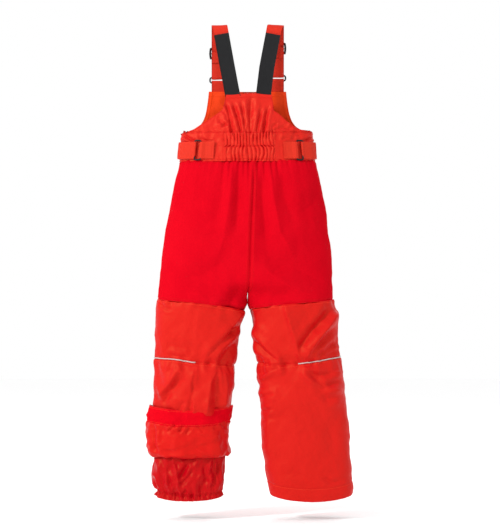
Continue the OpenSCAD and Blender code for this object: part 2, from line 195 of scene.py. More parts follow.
def half_ring(side, z, columns):
    """Half of the body, turning into a whole leg below the crotch: from the back seam round the outside."""
    dense = np.linspace(0, 1, 361)
    way = -1 if side == LEFT else 1
    trunk = around((body_left(z), body_right(z), back_at(z), front_at(z)), 270 + way * 180 * dense)
    zl = min(z, CROTCH)
    sides = sorted((outer_at[side](zl), inner_at[side](zl)))
    start = 360 if side == LEFT else 180
    leg = around((*sides, back_at(z), front_at(z)), start + way * 360 * dense)
    t = smooth((-515 - z) / 60)
    ring = evenly(trunk, columns) * (1 - t) + evenly(leg, columns) * t
    middle = (body_left(z) + body_right(z)) / 2
    half = (body_right(z) - body_left(z)) / 2
    pull = np.clip(1 - np.abs(ring[:, 0] - middle) / half, 0, 1) ** 1.5 * (1 - t)
    ring[:, 0] += (back_seam(z) - middle) * pull * (ring[:, 1] < 0) - middle * pull * (ring[:, 1] >= 0)
    return ring


class Surface:
    """Points over (u, z), from rings laid at even heights."""

    def __init__(self, ring, z_high, z_low, columns=241, step=3.0):
        self.z = np.arange(z_high, z_low - step, -step)
        self.rings = np.array([ring(z, columns) for z in self.z])
        self.columns = columns

    def at(self, u, z):
        u, z = np.broadcast_arrays(u, z)
        row = np.clip((self.z[0] - z) / (self.z[0] - self.z[1]), 0, len(self.z) - 1.001)
        col = np.clip(u * (self.columns - 1), 0, self.columns - 1.001)
        i, j = row.astype(int), col.astype(int)
        a, b = (row - i)[..., None], (col - j)[..., None]
        g = self.rings
        xy = (g[i, j] * (1 - a) * (1 - b) + g[i + 1, j] * a * (1 - b)
              + g[i, j + 1] * (1 - a) * b + g[i + 1, j + 1] * a * b)
        return np.concatenate([xy, z[..., None]], -1)


trousers = [Surface(lambda z, n, s=s: half_ring(s, z, n), WAIST_LOW + 8, -975) for s in (LEFT, RIGHT)]

# ---------------------------------------------------------------- cloth relief


def ripple(p, size, seed, stretch=(1, 1, 1)):
    """Smooth seeded noise, about -1 to 1, over points in mm."""
    rng = np.random.default_rng(seed)
    q = p / np.array(stretch, float) / size
    total = np.zeros(p.shape[:-1])
    for _ in range(14):
        way = rng.normal(size=3)
        way *= rng.uniform(0.6, 1.5) * 2 * math.pi / np.linalg.norm(way)
        total += np.sin(q @ way + rng.uniform(0, 2 * math.pi))
    return total / 3.4


def along_path(x, z, path):
    """Signed distance to a path of (x, z) points, and the share of the path run."""
    best = np.full(np.shape(x), 1e9)
    signed, share = np.zeros_like(best), np.zeros_like(best)
    path = np.array(path, float)
    lengths = np.linalg.norm(np.diff(path, axis=0), axis=1)
    runs = np.concatenate([[0], np.cumsum(lengths)])
    for k in range(len(path) - 1):
        a, d = path[k], (path[k + 1] - path[k]) / lengths[k]
        px, pz = x - a[0], z - a[1]
        t = px * d[0] + pz * d[1]
        tc = np.clip(t, 0, lengths[k])
        away = np.hypot(px - tc * d[0], pz - tc * d[1])
        side = np.sign(px * d[1] - pz * d[0])
        nearer = away < best
        best = np.where(nearer, away, best)
        signed = np.where(nearer, side * away, signed)
        share = np.where(nearer, (runs[k] + tc) / runs[-1], share)
    return signed, share


def fold(x, z, path, width, depth, lean=0.0, open_end=False):
    """A valley along a path with a swell on each side; lean puts more swell on one side."""
    away, share = along_path(x, z, path)
    q = away / width
    ends = smooth(share / 0.3) * (1 if open_end else smooth((1 - share) / 0.3))
    swell = (1 + lean) * bell(q - 1.7, 1.1) + (1 - lean) * bell(q + 1.7, 1.1)
    return depth * ends * (0.5 * swell - np.exp(-np.abs(q) ** 1.25))


def crinkle(p, size, seed, stretch=(1, 1, 1)):
    """Sharp little creases with flat cloth between them."""
    return 0.25 - np.abs(ripple(p, size, seed, stretch))


def ridges(x, z, table, strength=1.0):
    """Tents of cloth: a crest along a path that falls off over a different distance on each side."""
    total = 0
    for path, height, left, right in table:
        away, share = along_path(x, z, path)
        total = total + strength * height * smooth(share / 0.2) * smooth((1 - share) / 0.2) * np.exp(
            -np.abs(away) / np.where(away < 0, left, right))
    return total


def folds(x, z, table, strength=1.0):
    return strength * sum(fold(x, z, *row) for row in table)


def pucker(run, away, pitch, depth, reach, seed):
    """Small gathers that cross a seam and die away from it."""
    q = np.stack([run, away * 0.15, 0 * run], -1)
    return depth * ripple(q, pitch * 1.6, seed) * np.exp(-np.abs(away) / reach)


def grid_normals(p, inside=None):
    du = np.gradient(p, axis=1)
    dv = np.gradient(p, axis=0)
    n = np.cross(du, dv)
    n /= np.maximum(np.linalg.norm(n, axis=-1, keepdims=True), 1e-9)
    centre = p.mean(axis=1, keepdims=True) if inside is None else np.array(inside, float)
    if np.sum(n * (p - centre)) < 0:
        n = -n
    return n


# ---------------------------------------------------------------- materials


def nodes_of(name, rgb, roughness, metallic=0.0, specular=0.5, glint=(1, 1, 1)):
    mat = bpy.data.materials.new(name)
    mat.use_nodes = True
    bsdf = mat.node_tree.nodes["Principled BSDF"]
    bsdf.inputs["Base Color"].default_value = (*rgb, 1)
    bsdf.inputs["Roughness"].default_value = roughness
    bsdf.inputs["Metallic"].default_value = metallic
    bsdf.inputs["Specular Tint"].default_value = (*glint, 1)
    bsdf.inputs["Specular IOR Level"].default_value = specular
    return mat, mat.node_tree, bsdf


def shader(tree, kind, settings=(), **inputs):
    """A shader node: its settings, then its inputs, each a value or another node's output."""
    node = tree.nodes.new("ShaderNode" + kind)
    for key, value in dict(settings).items():
        setattr(node, key, value)
    for key, value in inputs.items():
        socket = node.inputs[key.replace("_", " ")]
        if isinstance(value, bpy.types.NodeSocket):
            tree.links.new(value, socket)
        else:
            socket.default_value = value
    return node


def fabric(name, rgb, roughness, thread_mm, relief, specular=0.1, glint=(1, 1, 1), vary=0.06, ribs=1.0):
    """Woven cloth: threads from the sheet's own lengths, colour and gloss that wander a little."""
    mat, tree, bsdf = nodes_of(name, rgb, roughness, 0, specular, glint)
    uv = shader(tree, "UVMap", {"uv_map": "UVMap"}).outputs["UV"]
    place = shader(tree, "TexCoord").outputs["Object"]
    broad = shader(tree, "TexNoise", Scale=18, Detail=4, Vector=place).outputs["Fac"]
    deep = (*[c * (1 - vary) for c in rgb], 1)
    pale = (*[min(1, c * (1 + vary) + 0.002) for c in rgb], 1)
    mix = shader(tree, "Mix", {"data_type": "RGBA"}, A=deep, B=pale, Factor=broad)
    gloss = shader(tree, "MapRange", To_Min=roughness - 0.05, To_Max=min(1, roughness + 0.06), Value=broad)
    tree.links.new(gloss.outputs["Result"], bsdf.inputs["Roughness"])
    over = shader(tree, "Math", {"operation": "MULTIPLY"})
    for i, (way, share) in enumerate((("X", 1.0), ("Y", ribs))):
        wave = shader(tree, "TexWave", {"bands_direction": way}, Scale=0.314 / (thread_mm * share * MM),
                      Distortion=0.6, Detail_Scale=2, Vector=uv)
        tree.links.new(wave.outputs["Fac"], over.inputs[i])
    weave = over.outputs["Value"]
    # The colour darkens to 0.86 where the weave's height is low: painted shade in the gaps between the
    # threads
    thread_gap_shade = shader(tree, "MapRange", To_Min=0.86, To_Max=1.0, Value=weave).outputs["Result"]
    tint = shader(tree, "VectorMath", {"operation": "SCALE"}, Scale=thread_gap_shade)
    tree.links.new(mix.outputs["Result"], tint.inputs[0])
    tree.links.new(tint.outputs["Vector"], bsdf.inputs["Base Color"])
    crumple = shader(tree, "TexNoise", Scale=90, Detail=3, Vector=place).outputs["Fac"]
    soft = shader(tree, "Bump", Strength=0.25, Distance=0.0012, Height=crumple).outputs["Normal"]
    bump = shader(tree, "Bump", Strength=relief, Distance=thread_mm * 0.12 * MM, Height=weave, Normal=soft)
    tree.links.new(bump.outputs["Normal"], bsdf.inputs["Normal"])
    return mat


def moulded(name, rgb, roughness, metallic=0.0, specular=0.5):
    """Plastic, enamel or rubber with a fine grain and worn gloss."""
    mat, tree, bsdf = nodes_of(name, rgb, roughness, metallic, specular)
    place = shader(tree, "TexCoord").outputs["Object"]
    fine = shader(tree, "TexNoise", Scale=900, Detail=2, Vector=place).outputs["Fac"]
    bump = shader(tree, "Bump", Strength=0.5, Distance=0.00004, Height=fine)
    tree.links.new(bump.outputs["Normal"], bsdf.inputs["Normal"])
    broad = shader(tree, "TexNoise", Scale=120, Vector=place).outputs["Fac"]
    gloss = shader(tree, "MapRange", To_Min=roughness - 0.08, To_Max=roughness + 0.1, Value=broad)
    tree.links.new(gloss.outputs["Result"], bsdf.inputs["Roughness"])
    return mat


ORANGE = (0.57, 0.003, 0.006)
# The front bib's orange is brighter and more orange than the cloth's own colour: painted light standing in
# for the light its shaded inside does not get
BIB_ORANGE_WITH_PAINTED_LIGHT = (0.88, 0.052, 0.005)
CRIMSON = (0.575, 0.0003, 0.008)
WARM = (1.0, 0.8, 0.3)
MATS = {
    "bib_shell": fabric("bib_shell", BIB_ORANGE_WITH_PAINTED_LIGHT, 0.55, 0.7, 0.5, specular=0.10),
    # The top's copy of the orange shell is a little more orange than the legs' copy of the same cloth:
    # painted light for the better-lit top of the garment
    "upper_shell": fabric("upper_shell", (0.59, 0.006, 0.008), 0.48, 0.7, 0.5, specular=0.26, glint=WARM),
    "leg_shell": fabric("leg_shell", ORANGE, 0.50, 0.7, 0.5, specular=0.19, glint=WARM),
    "seat_shell": fabric("seat_shell", CRIMSON, 0.85, 1.1, 0.9, specular=0.02, ribs=0.8),
    "lining": fabric("lining", (0.57, 0.001, 0.005), 0.42, 0.5, 0.3, specular=0.17, glint=WARM),
    "gaiter": fabric("gaiter", (0.47, 0.0, 0.006), 0.36, 0.5, 0.35, specular=0.11, glint=WARM),
    "hem_facing": fabric("hem_facing", (0.62, 0.0, 0.007), 0.8, 1.0, 0.8, specular=0.02),
    "webbing": fabric("webbing", (0.63, 0.024, 0.009), 0.60, 1.6, 1.2, specular=0.12, ribs=0.45),
    "elastic": fabric("elastic", (0.016, 0.016, 0.017), 0.78, 1.3, 1.4, specular=0.08, ribs=0.5, vary=0.15),
    "hem_elastic": fabric("hem_elastic", (0.03, 0.02, 0.02), 0.8, 1.3, 1.2, specular=0.1, ribs=0.5),
    "reflective_piping": fabric("reflective_piping", (0.52, 0.40, 0.38), 0.42, 0.5, 0.4, specular=0.4),
    "zipper_tape": fabric("zipper_tape", (0.68, 0.008, 0.008), 0.75, 1.0, 1.0, specular=0.1, ribs=0.5),
    "buckle_plastic": moulded("buckle_plastic", (0.006, 0.006, 0.007), 0.42, specular=0.2),
    "ring_metal": moulded("ring_metal", (0.020, 0.020, 0.023), 0.32, 0.5, specular=0.3),
    "zipper_teeth": moulded("zipper_teeth", (0.55, 0.006, 0.006), 0.35, specular=0.3),
    "zipper_metal": moulded("zipper_metal", (0.08, 0.08, 0.085), 0.32, 0.85),
    "zipper_pull_rubber": moulded("zipper_pull_rubber", (0.55, 0.006, 0.006), 0.55, specular=0.3),
}
THREAD = fabric("thread", (0.60, 0.003, 0.005), 0.6, 0.3, 0.6, specular=0.1)
THREAD_PALE = fabric("thread_pale", (0.86, 0.05, 0.02), 0.6, 0.3, 0.6, specular=0.1)

# ---------------------------------------------------------------- mesh builders


def mesh_object(name, points, faces, mats, face_mats=None, uvs=None):
    mesh = bpy.data.meshes.new(name)
    mesh.from_pydata([tuple(p) for p in np.asarray(points) * MM], [], [tuple(map(int, f)) for f in faces])
    for m in mats:
        mesh.materials.append(m)
    if face_mats is not None:
        mesh.polygons.foreach_set("material_index", np.asarray(face_mats, np.int32))
    if uvs is not None:
        layer = mesh.uv_layers.new(name="UVMap")
        corner = np.zeros(len(mesh.loops), np.int32)
        mesh.loops.foreach_get("vertex_index", corner)
        layer.data.foreach_set("uv", np.asarray(uvs, np.float32)[corner].ravel())
    mesh.polygons.foreach_set("use_smooth", np.ones(len(mesh.polygons), bool))
    mesh.validate()
    mesh.update()
    obj = bpy.data.objects.new(name, mesh)
    bpy.context.scene.collection.objects.link(obj)
    return obj


def cloth(name, p, thickness, outside, inside=None, closed=False, rim=3, normals=None):
    """A sheet of even thickness whose outer face is the grid p (rows, columns, 3), with round rims."""
    n = grid_normals(p) if normals is None else normals
    rows, cols = p.shape[:2]
    t = thickness
    inner = p - n * t
    middle = p - n * t / 2
    stack = list(p)

    def edge(row, neighbour, from_outer):
        away = p[row] - p[neighbour]
        away /= np.maximum(np.linalg.norm(away, axis=-1, keepdims=True), 1e-9)
        out = []
        for k in range(1, rim + 1):
            a = math.pi * k / (rim + 1)
            c = math.cos(a) if from_outer else -math.cos(a)
            out.append(middle[row] + t / 2 * (n[row] * c + away * math.sin(a)))
        return out

    stack += edge(rows - 1, rows - 2, True)
    stack += list(inner[::-1])
    stack += edge(0, 1, False)
    loop = len(stack)
    verts = np.array(stack).reshape(-1, 3)
    wide = np.linalg.norm(np.diff(p, axis=1), axis=-1).mean(axis=0)
    tall = np.linalg.norm(np.diff(p, axis=0), axis=-1).mean(axis=1)
    us = np.concatenate([[0], np.cumsum(wide)]) * MM
    vs = np.concatenate([[0], np.cumsum(tall)]) * MM
    v_run = np.concatenate([vs, vs[-1] + np.arange(1, rim + 1) * 1e-4, vs[::-1],
                            -np.arange(1, rim + 1) * 1e-4])
    uvs = np.stack(np.meshgrid(us, v_run), -1).reshape(-1, 2)
    last = cols if closed else cols - 1
    j = np.arange(last)
    k = (j + 1) % cols
    faces, kinds = [], []
    for i in range(loop):
        a, b = i * cols, ((i + 1) % loop) * cols
        quad = np.stack([a + j, b + j, b + k, a + k], -1)
        faces.append(quad)
        kinds += [0 if i < rows - 1 else 1] * last
    faces = np.concatenate(faces)
    v0, v1, v2 = verts[faces[0][0]], verts[faces[0][1]], verts[faces[0][2]]
    if np.dot(np.cross(v1 - v0, v2 - v0), n[0, 0]) < 0:
        faces = faces[:, ::-1]
    faces = [tuple(f) for f in faces]
    if not closed:
        flipped = faces[0][0] != 0
        for c, turn in ((0, flipped), (cols - 1, not flipped)):
            for i in range(rows - 1):
                o, o2 = i * cols + c, (i + 1) * cols + c
                q, q2 = (2 * rows + rim - 1 - i) * cols + c, (2 * rows + rim - 2 - i) * cols + c
                f = (o, o2, q2, q)
                faces.append(f if not turn else f[::-1])
                kinds.append(0)
            for first in (rows - 1, 2 * rows + rim - 1):
                ring = tuple(((first + s) % loop) * cols + c for s in range(rim + 2))
                faces.append(ring if not turn else ring[::-1])
                kinds.append(0)
    return mesh_object(name, verts, faces, [outside, inside or outside], kinds, uvs)


STITCH_LIFT = 0.12


def stitches(name, line, normals, mat, pitch=3.2, length=2.3, radius=0.32):
    """A row of thread stitches lying on a line of points."""
    line, normals = np.asarray(line, float), np.asarray(normals, float)
    steps = np.linalg.norm(np.diff(line, axis=0), axis=1)
    run = np.concatenate([[0], np.cumsum(steps)])
    count = max(1, int(run[-1] / pitch))
    verts, faces, uvs = [], [], []
    ring = np.linspace(0, 2 * math.pi, 7)[:-1]

    def spot(s):
        c = np.array([np.interp(s, run, line[:, q]) for q in range(3)])
        m = np.array([np.interp(s, run, normals[:, q]) for q in range(3)])
        return c, m / max(np.linalg.norm(m), 1e-9)

    for i in range(count):
        s0 = (i + 0.5) * pitch - length / 2
        base = len(verts)
        for share, thick, sink in ((0, 0.35, 0.5), (0.22, 1, 0), (0.78, 1, 0), (1, 0.35, 0.5)):
            c, m = spot(s0 + share * length)
            d = spot(s0 + length)[0] - spot(s0)[0]
            d /= max(np.linalg.norm(d), 1e-9)
            w = np.cross(d, m)
            for a in ring:
                rise = STITCH_LIFT - sink * radius
                verts.append(c + m * rise + radius * thick * (w * math.cos(a) + m * math.sin(a)))
                uvs.append((a * radius * MM, (s0 + share * length) * MM))
        for q in range(3):
            for r in range(6):
                a, b = base + q * 6 + r, base + q * 6 + (r + 1) % 6
                faces.append((a, b, b + 6, a + 6))
        faces.append(tuple(base + r for r in range(5, -1, -1)))
        faces.append(tuple(base + 18 + r for r in range(6)))
    return mesh_object(name, verts, faces, [mat], uvs=uvs)


def tube(name, line, radius, mat, sides=10, closed=False, squash=1.0):
    """A round cord or wire along a line of points."""
    line = np.asarray(line, float)
    count = len(line)
    if closed:
        ahead = np.roll(line, -1, 0) - np.roll(line, 1, 0)
    else:
        ahead = np.gradient(line, axis=0)
    ahead /= np.linalg.norm(ahead, axis=1, keepdims=True)
    up = np.array([0.0, 1.0, 0.0])
    verts, uvs = [], []
    for i in range(count):
        w = np.cross(ahead[i], up)
        w /= max(np.linalg.norm(w), 1e-9)
        v = np.cross(w, ahead[i])
        for s in range(sides):
            a = 2 * math.pi * s / sides
            verts.append(line[i] + radius * (w * math.cos(a) + v * squash * math.sin(a)))
            uvs.append((a * radius * MM, i * 0.5 * MM))
    faces = []
    for i in range(count if closed else count - 1):
        a, b = i * sides, ((i + 1) % count) * sides
        for s in range(sides):
            t = (s + 1) % sides
            faces.append((a + s, a + t, b + t, b + s))
    if not closed:
        faces.append(tuple(range(sides - 1, -1, -1)))
        faces.append(tuple((count - 1) * sides + s for s in range(sides)))
    return mesh_object(name, verts, faces, [mat], uvs=uvs)


def rounded(name, size, centre, bevel, mat):
    """A block with rounded edges, in mm."""
    half = np.array(size) / 2
    corners = [half * (a, b, c) for a in (-1, 1) for b in (-1, 1) for c in (-1, 1)]
    faces = [(0, 1, 3, 2), (4, 6, 7, 5), (0, 4, 5, 1), (2, 3, 7, 6), (0, 2, 6, 4), (1, 5, 7, 3)]
    obj = mesh_object(name, corners, faces, [mat])
    mod = obj.modifiers.new("round", "BEVEL")
    mod.width = bevel * MM
    mod.segments = 3
    obj.location = [c * MM for c in centre]
    return obj


def plate(name, outline, near, far, bevel, mat):
    """A flat piece with rounded edges: an (x, z) outline from one y to another."""
    k = len(outline)
    verts = [(x, y, z) for y in (near, far) for x, z in outline]
    faces = [tuple(range(k)), tuple(range(2 * k - 1, k - 1, -1))]
    faces += [(i, i + k, (i + 1) % k + k, (i + 1) % k) for i in range(k)]
    obj = mesh_object(name, verts, faces, [mat])
    mod = obj.modifiers.new("round", "BEVEL")
    mod.width = bevel * MM
    mod.segments = 3
    return obj


def bake(obj):
    """Applies an object's modifiers and place to its mesh."""
    bpy.context.view_layer.update()
    dg = bpy.context.evaluated_depsgraph_get()
    mesh = bpy.data.meshes.new_from_object(obj.evaluated_get(dg))
    mesh.transform(obj.matrix_world)
    obj.modifiers.clear()
    obj.data = mesh
    obj.matrix_world.identity()
    return obj


def join(name, parts):
    """One mesh object from several, places applied."""
    for o in parts:
        bake(o)
    with bpy.context.temp_override(active_object=parts[0], object=parts[0], selected_objects=parts,
                                   selected_editable_objects=parts):
        bpy.ops.object.join()
    parts[0].name = name
    return parts[0]


# ---------------------------------------------------------------- seat: crimson panels, one for each half

SHELL = 3.4
SEAT_BACK_FOLDS = [
    ([(-17, -276), (-18, -350), (-24, -440)], 10, 3.2, 0.3),
    ([(30, -276), (30, -360), (40, -470)], 11, 2.8, -0.3),
    ([(-44, -282), (-50, -350), (-66, -420)], 12, 1.6, 0.0),
    ([(66, -284), (72, -350), (92, -410)], 13, 1.7, 0.0),
    ([(-8, -520), (-34, -560), (-60, -600)], 13, 3.2, 0.4),
    ([(22, -440), (48, -476), (110, -498), (160, -530)], 17, 2.6, 0.3),
    ([(-30, -470), (-90, -506), (-150, -520)], 20, 1.8, 0.2),
    ([(10, -540), (50, -548), (100, -540)], 14, 1.6, 0.0),
    ([(-150, -330), (-120, -360), (-80, -372)], 16, 1.4, 0.0),
    ([(146, -326), (128, -366), (96, -392)], 16, 1.6, 0.0),
]
SEAT_FRONT_FOLDS = [
    ([(-40, -290), (-56, -380), (-90, -440)], 13, 2.2, 0.2),
    ([(44, -290), (58, -380), (88, -430)], 13, 2.2, -0.2),
    ([(-6, -470), (-60, -500), (-140, -480)], 16, 2.8, 0.2),
    ([(8, -480), (64, -504), (146, -476)], 16, 2.8, 0.2),
    ([(-8, -510), (-50, -550), (-110, -556)], 14, 2.4, 0.2),
    ([(10, -512), (54, -548), (120, -552)], 14, 2.4, 0.2),
    ([(0, -330), (3, -400), (-2, -440)], 9, 1.4, 0.0),
]
SEAT_RIDGES = [
    ([(-30, -272), (-34, -350), (-46, -430), (-70, -500)], 4.5, 14, 40),
    ([(8, -276), (9, -360), (10, -440), (4, -520)], 5.0, 16, 16),
    ([(44, -272), (50, -350), (64, -420), (96, -480)], 5.0, 34, 12),
    ([(0, -566), (-26, -560), (-70, -548), (-120, -540)], 5.0, 30, 9),
    ([(12, -470), (50, -505), (110, -540), (170, -560)], 4.0, 12, 34),
]
PLEATS = [-46, -34, -17, -6, 3, 20, 33, 47, 58]
# Columns and rows of a seat half's grid, and how far round it reaches
SEAT_COLUMNS, SEAT_ROWS = 190, 150
SEAT_ROUND = 560


def seat_half(side):
    u = np.linspace(0, 1, SEAT_COLUMNS)[None, :]
    v = np.linspace(0, 1, SEAT_ROWS)[:, None]
    outer_z, inner_z = SEAT_SEAM[side]
    inward = np.abs(2 * u - 1) ** 1.6
    bottom = outer_z + (inner_z - outer_z) * inward
    top = WAIST_LOW - 0.3
    z = top + (bottom - top) * v
    p = trousers[side].at(u + 0 * z, z)
    n = grid_normals(p)
    x, y = p[..., 0], p[..., 1]
    back = smooth((0.53 - u) / 0.06) + 0 * z
    d = np.zeros_like(z)
    d += back * ridges(x, z, SEAT_RIDGES, 1.3)
    d += back * folds(x, z, SEAT_BACK_FOLDS, 1.9) + (1 - back) * folds(x, z, SEAT_FRONT_FOLDS, 1.5)
    drop = top - z
    for i, px in enumerate(PLEATS):
        reach = 34 + 16 * math.sin(2.1 * i + side)
        lean = 0.12 * (px - 6)
        d -= back * 3.2 * bell(x - px - lean * drop / 60, 2.6) * bell(drop - 5, reach)
    round_body = u * SEAT_ROUND
    d += pucker(round_body + 0 * z, drop, 13, 0.8, 16, 11 + side)
    d += pucker(round_body + 0 * z, (z - bottom), 15, 0.55, 12, 21 + side)
    seam_run = np.minimum(u, 1 - u) * SEAT_ROUND
    d += pucker(z + 0 * u, seam_run + 0 * z, 14, 0.7, 13, 31)
    d += 1.2 * ripple(p, 120, 5, (1, 1, 1.8)) + 0.45 * ripple(p, 42, 6, (0.8, 1, 1.8))
    d += 0.16 * ripple(p, 17, 7)
    # Seams sink, with a welt beside the centre seam
    d -= 1.5 * bell(drop, 3) + 1.2 * bell(z - bottom, 2.6)
    d -= 1.6 * bell(seam_run, 2.4)
    d += 0.7 * bell(seam_run - 5, 3)
    hold = smooth(seam_run / 10)
    moved = p + n * (d * (0.35 + 0.65 * hold))[..., None]
    for c in (0, -1):
        moved[:, c, 0] = p[:, c, 0]
    return moved, grid_normals(moved)


def surface_line(p, n, row=None, col=None):
    """A line across a grid at a fractional row or column, with its normals."""
    if row is not None:
        i, f = int(row), row - int(row)
        return p[i] * (1 - f) + p[i + 1] * f, n[i] * (1 - f) + n[i + 1] * f
    i, f = int(col), col - int(col)
    return p[:, i] * (1 - f) + p[:, i + 1] * f, n[:, i] * (1 - f) + n[:, i + 1] * f


def sew(name, slot, lines, mat, *gauge, **held):
    """Rows of stitches along lines of points, as one piece."""
    rows = [stitches(f"{name}_{i}", *line, mat, *gauge) for i, line in enumerate(lines)]
    thread = join(name, rows)
    piece(thread, slot, **held)
    return thread


HIP_BEND = ("root", "legs", at_height(HIP_HIGH + 24), at_height(HIP_LOW - 24))


def build_seat():
    for side, name in enumerate(SIDES):
        p, n = seat_half(side)
        o = cloth(f"seat_panel_{name}", p, SHELL, MATS["seat_shell"], MATS["lining"], normals=n)
        nodes = [f"seat_back_{name}", f"seat_front_{name}", f"thigh_back_{name}", f"thigh_front_{name}"]
        piece(o, "seat_shell", *nodes, *(["hip_band"] if side == LEFT else []), bend=HIP_BEND)
        last = SEAT_COLUMNS - 1
        spacing = SEAT_ROUND / last
        rows = []
        for away in (4.5, 9.5):
            for c in (away / spacing, last - away / spacing - 1e-6):
                rows.append(surface_line(p, n, col=c))
        rows += [surface_line(p, n, row=SEAT_ROWS - 1 - 4.5 / 1.9 - 1e-6), surface_line(p, n, row=4 / 1.9)]
        sew(f"seat_stitching_{name}", "seat_shell", rows, THREAD, bend=HIP_BEND)


# ---------------------------------------------------------------- legs: orange knee and shin panels

LEG_BACK_FOLDS = [
    [
        ([(-84, -675), (-66, -655), (-46, -632), (-10, -598)], 6.0, 4.6, 0.5),
        ([(-60, -690), (-40, -655), (-16, -640)], 8, 1.6, 0.0),
        ([(-176, -562), (-160, -573), (-148, -574)], 4, 1.6, 0.0),
        ([(-110, -566), (-72, -572), (-34, -578)], 5, 1.5, 0.3),
        ([(-48, -585), (-36, -600), (-30, -630)], 9, 1.4, 0.0),
        ([(-172, -640), (-130, -652), (-92, -668)], 12, 1.4, 0.2),
        ([(-162, -662), (-140, -667), (-112, -669)], 4.5, 1.8, 0.0),
        ([(-122, -700), (-140, -722), (-172, -752)], 9, 3.2, 0.2),
        ([(-106, -716), (-110, -745), (-115, -790)], 8, 3.4, 0.0),
        ([(-84, -690), (-62, -720), (-44, -765)], 12, 2.0, -0.2),
        ([(-122, -752), (-140, -780)], 6, 2.4, 0.0),
        ([(-66, -742), (-62, -765), (-54, -790)], 9, 4.2, 0.2),
        ([(-150, -738), (-172, -764)], 7, 2.2, 0.0),
        ([(-178, -700), (-168, -722), (-160, -735)], 8, 1.4, 0.0),
    ],
    [
        ([(101, -677), (105, -646), (126, -618), (150, -592), (172, -562)], 8.5, 5.0, 0.5),
        ([(116, -672), (142, -640), (176, -604)], 6.5, 3.2, 0.2),
        ([(130, -670), (158, -652), (184, -636)], 6.0, 2.8, 0.2),
        ([(150, -668), (172, -658), (188, -652)], 5, 2.0, 0.0),
        ([(10, -628), (34, -656), (52, -668), (74, -683)], 6.0, 3.6, 0.5),
        ([(14, -660), (34, -672), (60, -681)], 6, 1.4, 0.0),
        ([(22, -706), (50, -696), (74, -684)], 5.5, 2.2, 0.3),
        ([(20, -720), (44, -712), (60, -700)], 6, 1.2, 0.0),
        ([(106, -690), (140, -706), (186, -692)], 7, 2.6, 0.2),
        ([(120, -700), (152, -728), (190, -712)], 7, 2.8, 0.2),
        ([(126, -716), (158, -752), (192, -744)], 8, 2.2, 0.2),
        ([(24, -752), (40, -745), (56, -741)], 4.5, 1.8, 0.0),
        ([(26, -778), (42, -774), (56, -771)], 4.0, 1.6, 0.0),
        ([(30, -800), (46, -792), (60, -790)], 5, 1.0, 0.0),
        ([(150, -780), (168, -830), (172, -880)], 18, 2.2, 0.0),
        ([(70, -760), (62, -830), (70, -890)], 20, 1.4, 0.0),
        ([(142, -905), (166, -918), (196, -914)], 5, 1.6, 0.3),
        ([(60, -905), (92, -900), (120, -908)], 9, 0.9, 0.0),
    ],
]
# Crests: path, height, reach to the one side and to the other
LEG_BACK_RIDGES = [
    [
        ([(-10, -560), (-28, -600), (-52, -640), (-84, -680)], 7.0, 8, 34),
        ([(-104, -684), (-112, -720), (-104, -790)], 5.0, 9, 26),
        ([(-60, -688), (-74, -720), (-80, -760), (-84, -800)], 6.0, 8, 22),
        ([(-48, -690), (-44, -730), (-50, -780)], 4.5, 7, 18),
        ([(-130, -684), (-152, -720), (-180, -752)], 4.0, 8, 18),
    ],
    [
        ([(70, -556), (84, -600), (96, -640), (104, -684)], 7.5, 30, 8),
        ([(108, -684), (134, -640), (162, -598), (184, -566)], 6.0, 8, 16),
        ([(74, -684), (48, -660), (24, -636), (8, -604)], 5.0, 9, 16),
        ([(78, -686), (46, -700), (22, -726)], 5.0, 9, 20),
        ([(96, -690), (136, -722), (196, -740)], 5.0, 12, 30),
        ([(100, -686), (140, -696), (196, -700)], 4.0, 7, 14),
        ([(60, -720), (44, -790), (46, -880)], 4.0, 14, 60),
    ],
]
LEG_FRONT_FOLDS = [
    [
        ([(-150, -640), (-110, -650), (-70, -636)], 9, 2.2, 0.2),
        ([(-156, -700), (-112, -712), (-66, -698)], 9, 2.4, 0.2),
        ([(-176, -668), (-140, -676), (-120, -680)], 6, 2.0, 0.0),
        ([(-90, -682), (-60, -674), (-34, -664)], 6, 2.0, 0.0),
        ([(-120, -730), (-130, -760), (-126, -800)], 10, 2.4, 0.0),
        ([(-40, -590), (-60, -620), (-100, -630)], 10, 2.0, 0.2),
    ],
    [
        ([(60, -640), (104, -652), (150, -638)], 9, 2.2, 0.2),
        ([(66, -700), (112, -714), (160, -700)], 9, 2.4, 0.2),
        ([(180, -668), (150, -676), (126, -680)], 6, 2.0, 0.0),
        ([(92, -682), (60, -674), (34, -664)], 6, 2.0, 0.0),
        ([(120, -730), (132, -790), (120, -860)], 14, 2.0, 0.0),
        ([(60, -760), (70, -820), (64, -880)], 16, 1.6, 0.0),
        ([(40, -590), (60, -620), (104, -630)], 10, 2.0, 0.2),
    ],
]
# Knee seam: (x, height) across each leg
KNEE_SEAM = [[(-190, -671.5), (-150, -673), (-103, -679.5), (-60, -682), (-20, -686)],
             [(20, -680), (60, -684), (100, -682), (150, -675), (190, -668.5)]]
PIPING_SPAN = [(-200, -103), (100, 200)]
knee_line = [table_curve(t) for t in KNEE_SEAM]
LEG_END = [CUFF_LOW + 9, HEM]
HEM_DEEP = 24.0
LEG_ROUND = 400


def knee_bend(name):
    return "legs", f"{name}_shin", at_height(KNEE_HIGH + 8), at_height(KNEE_LOW - 8)


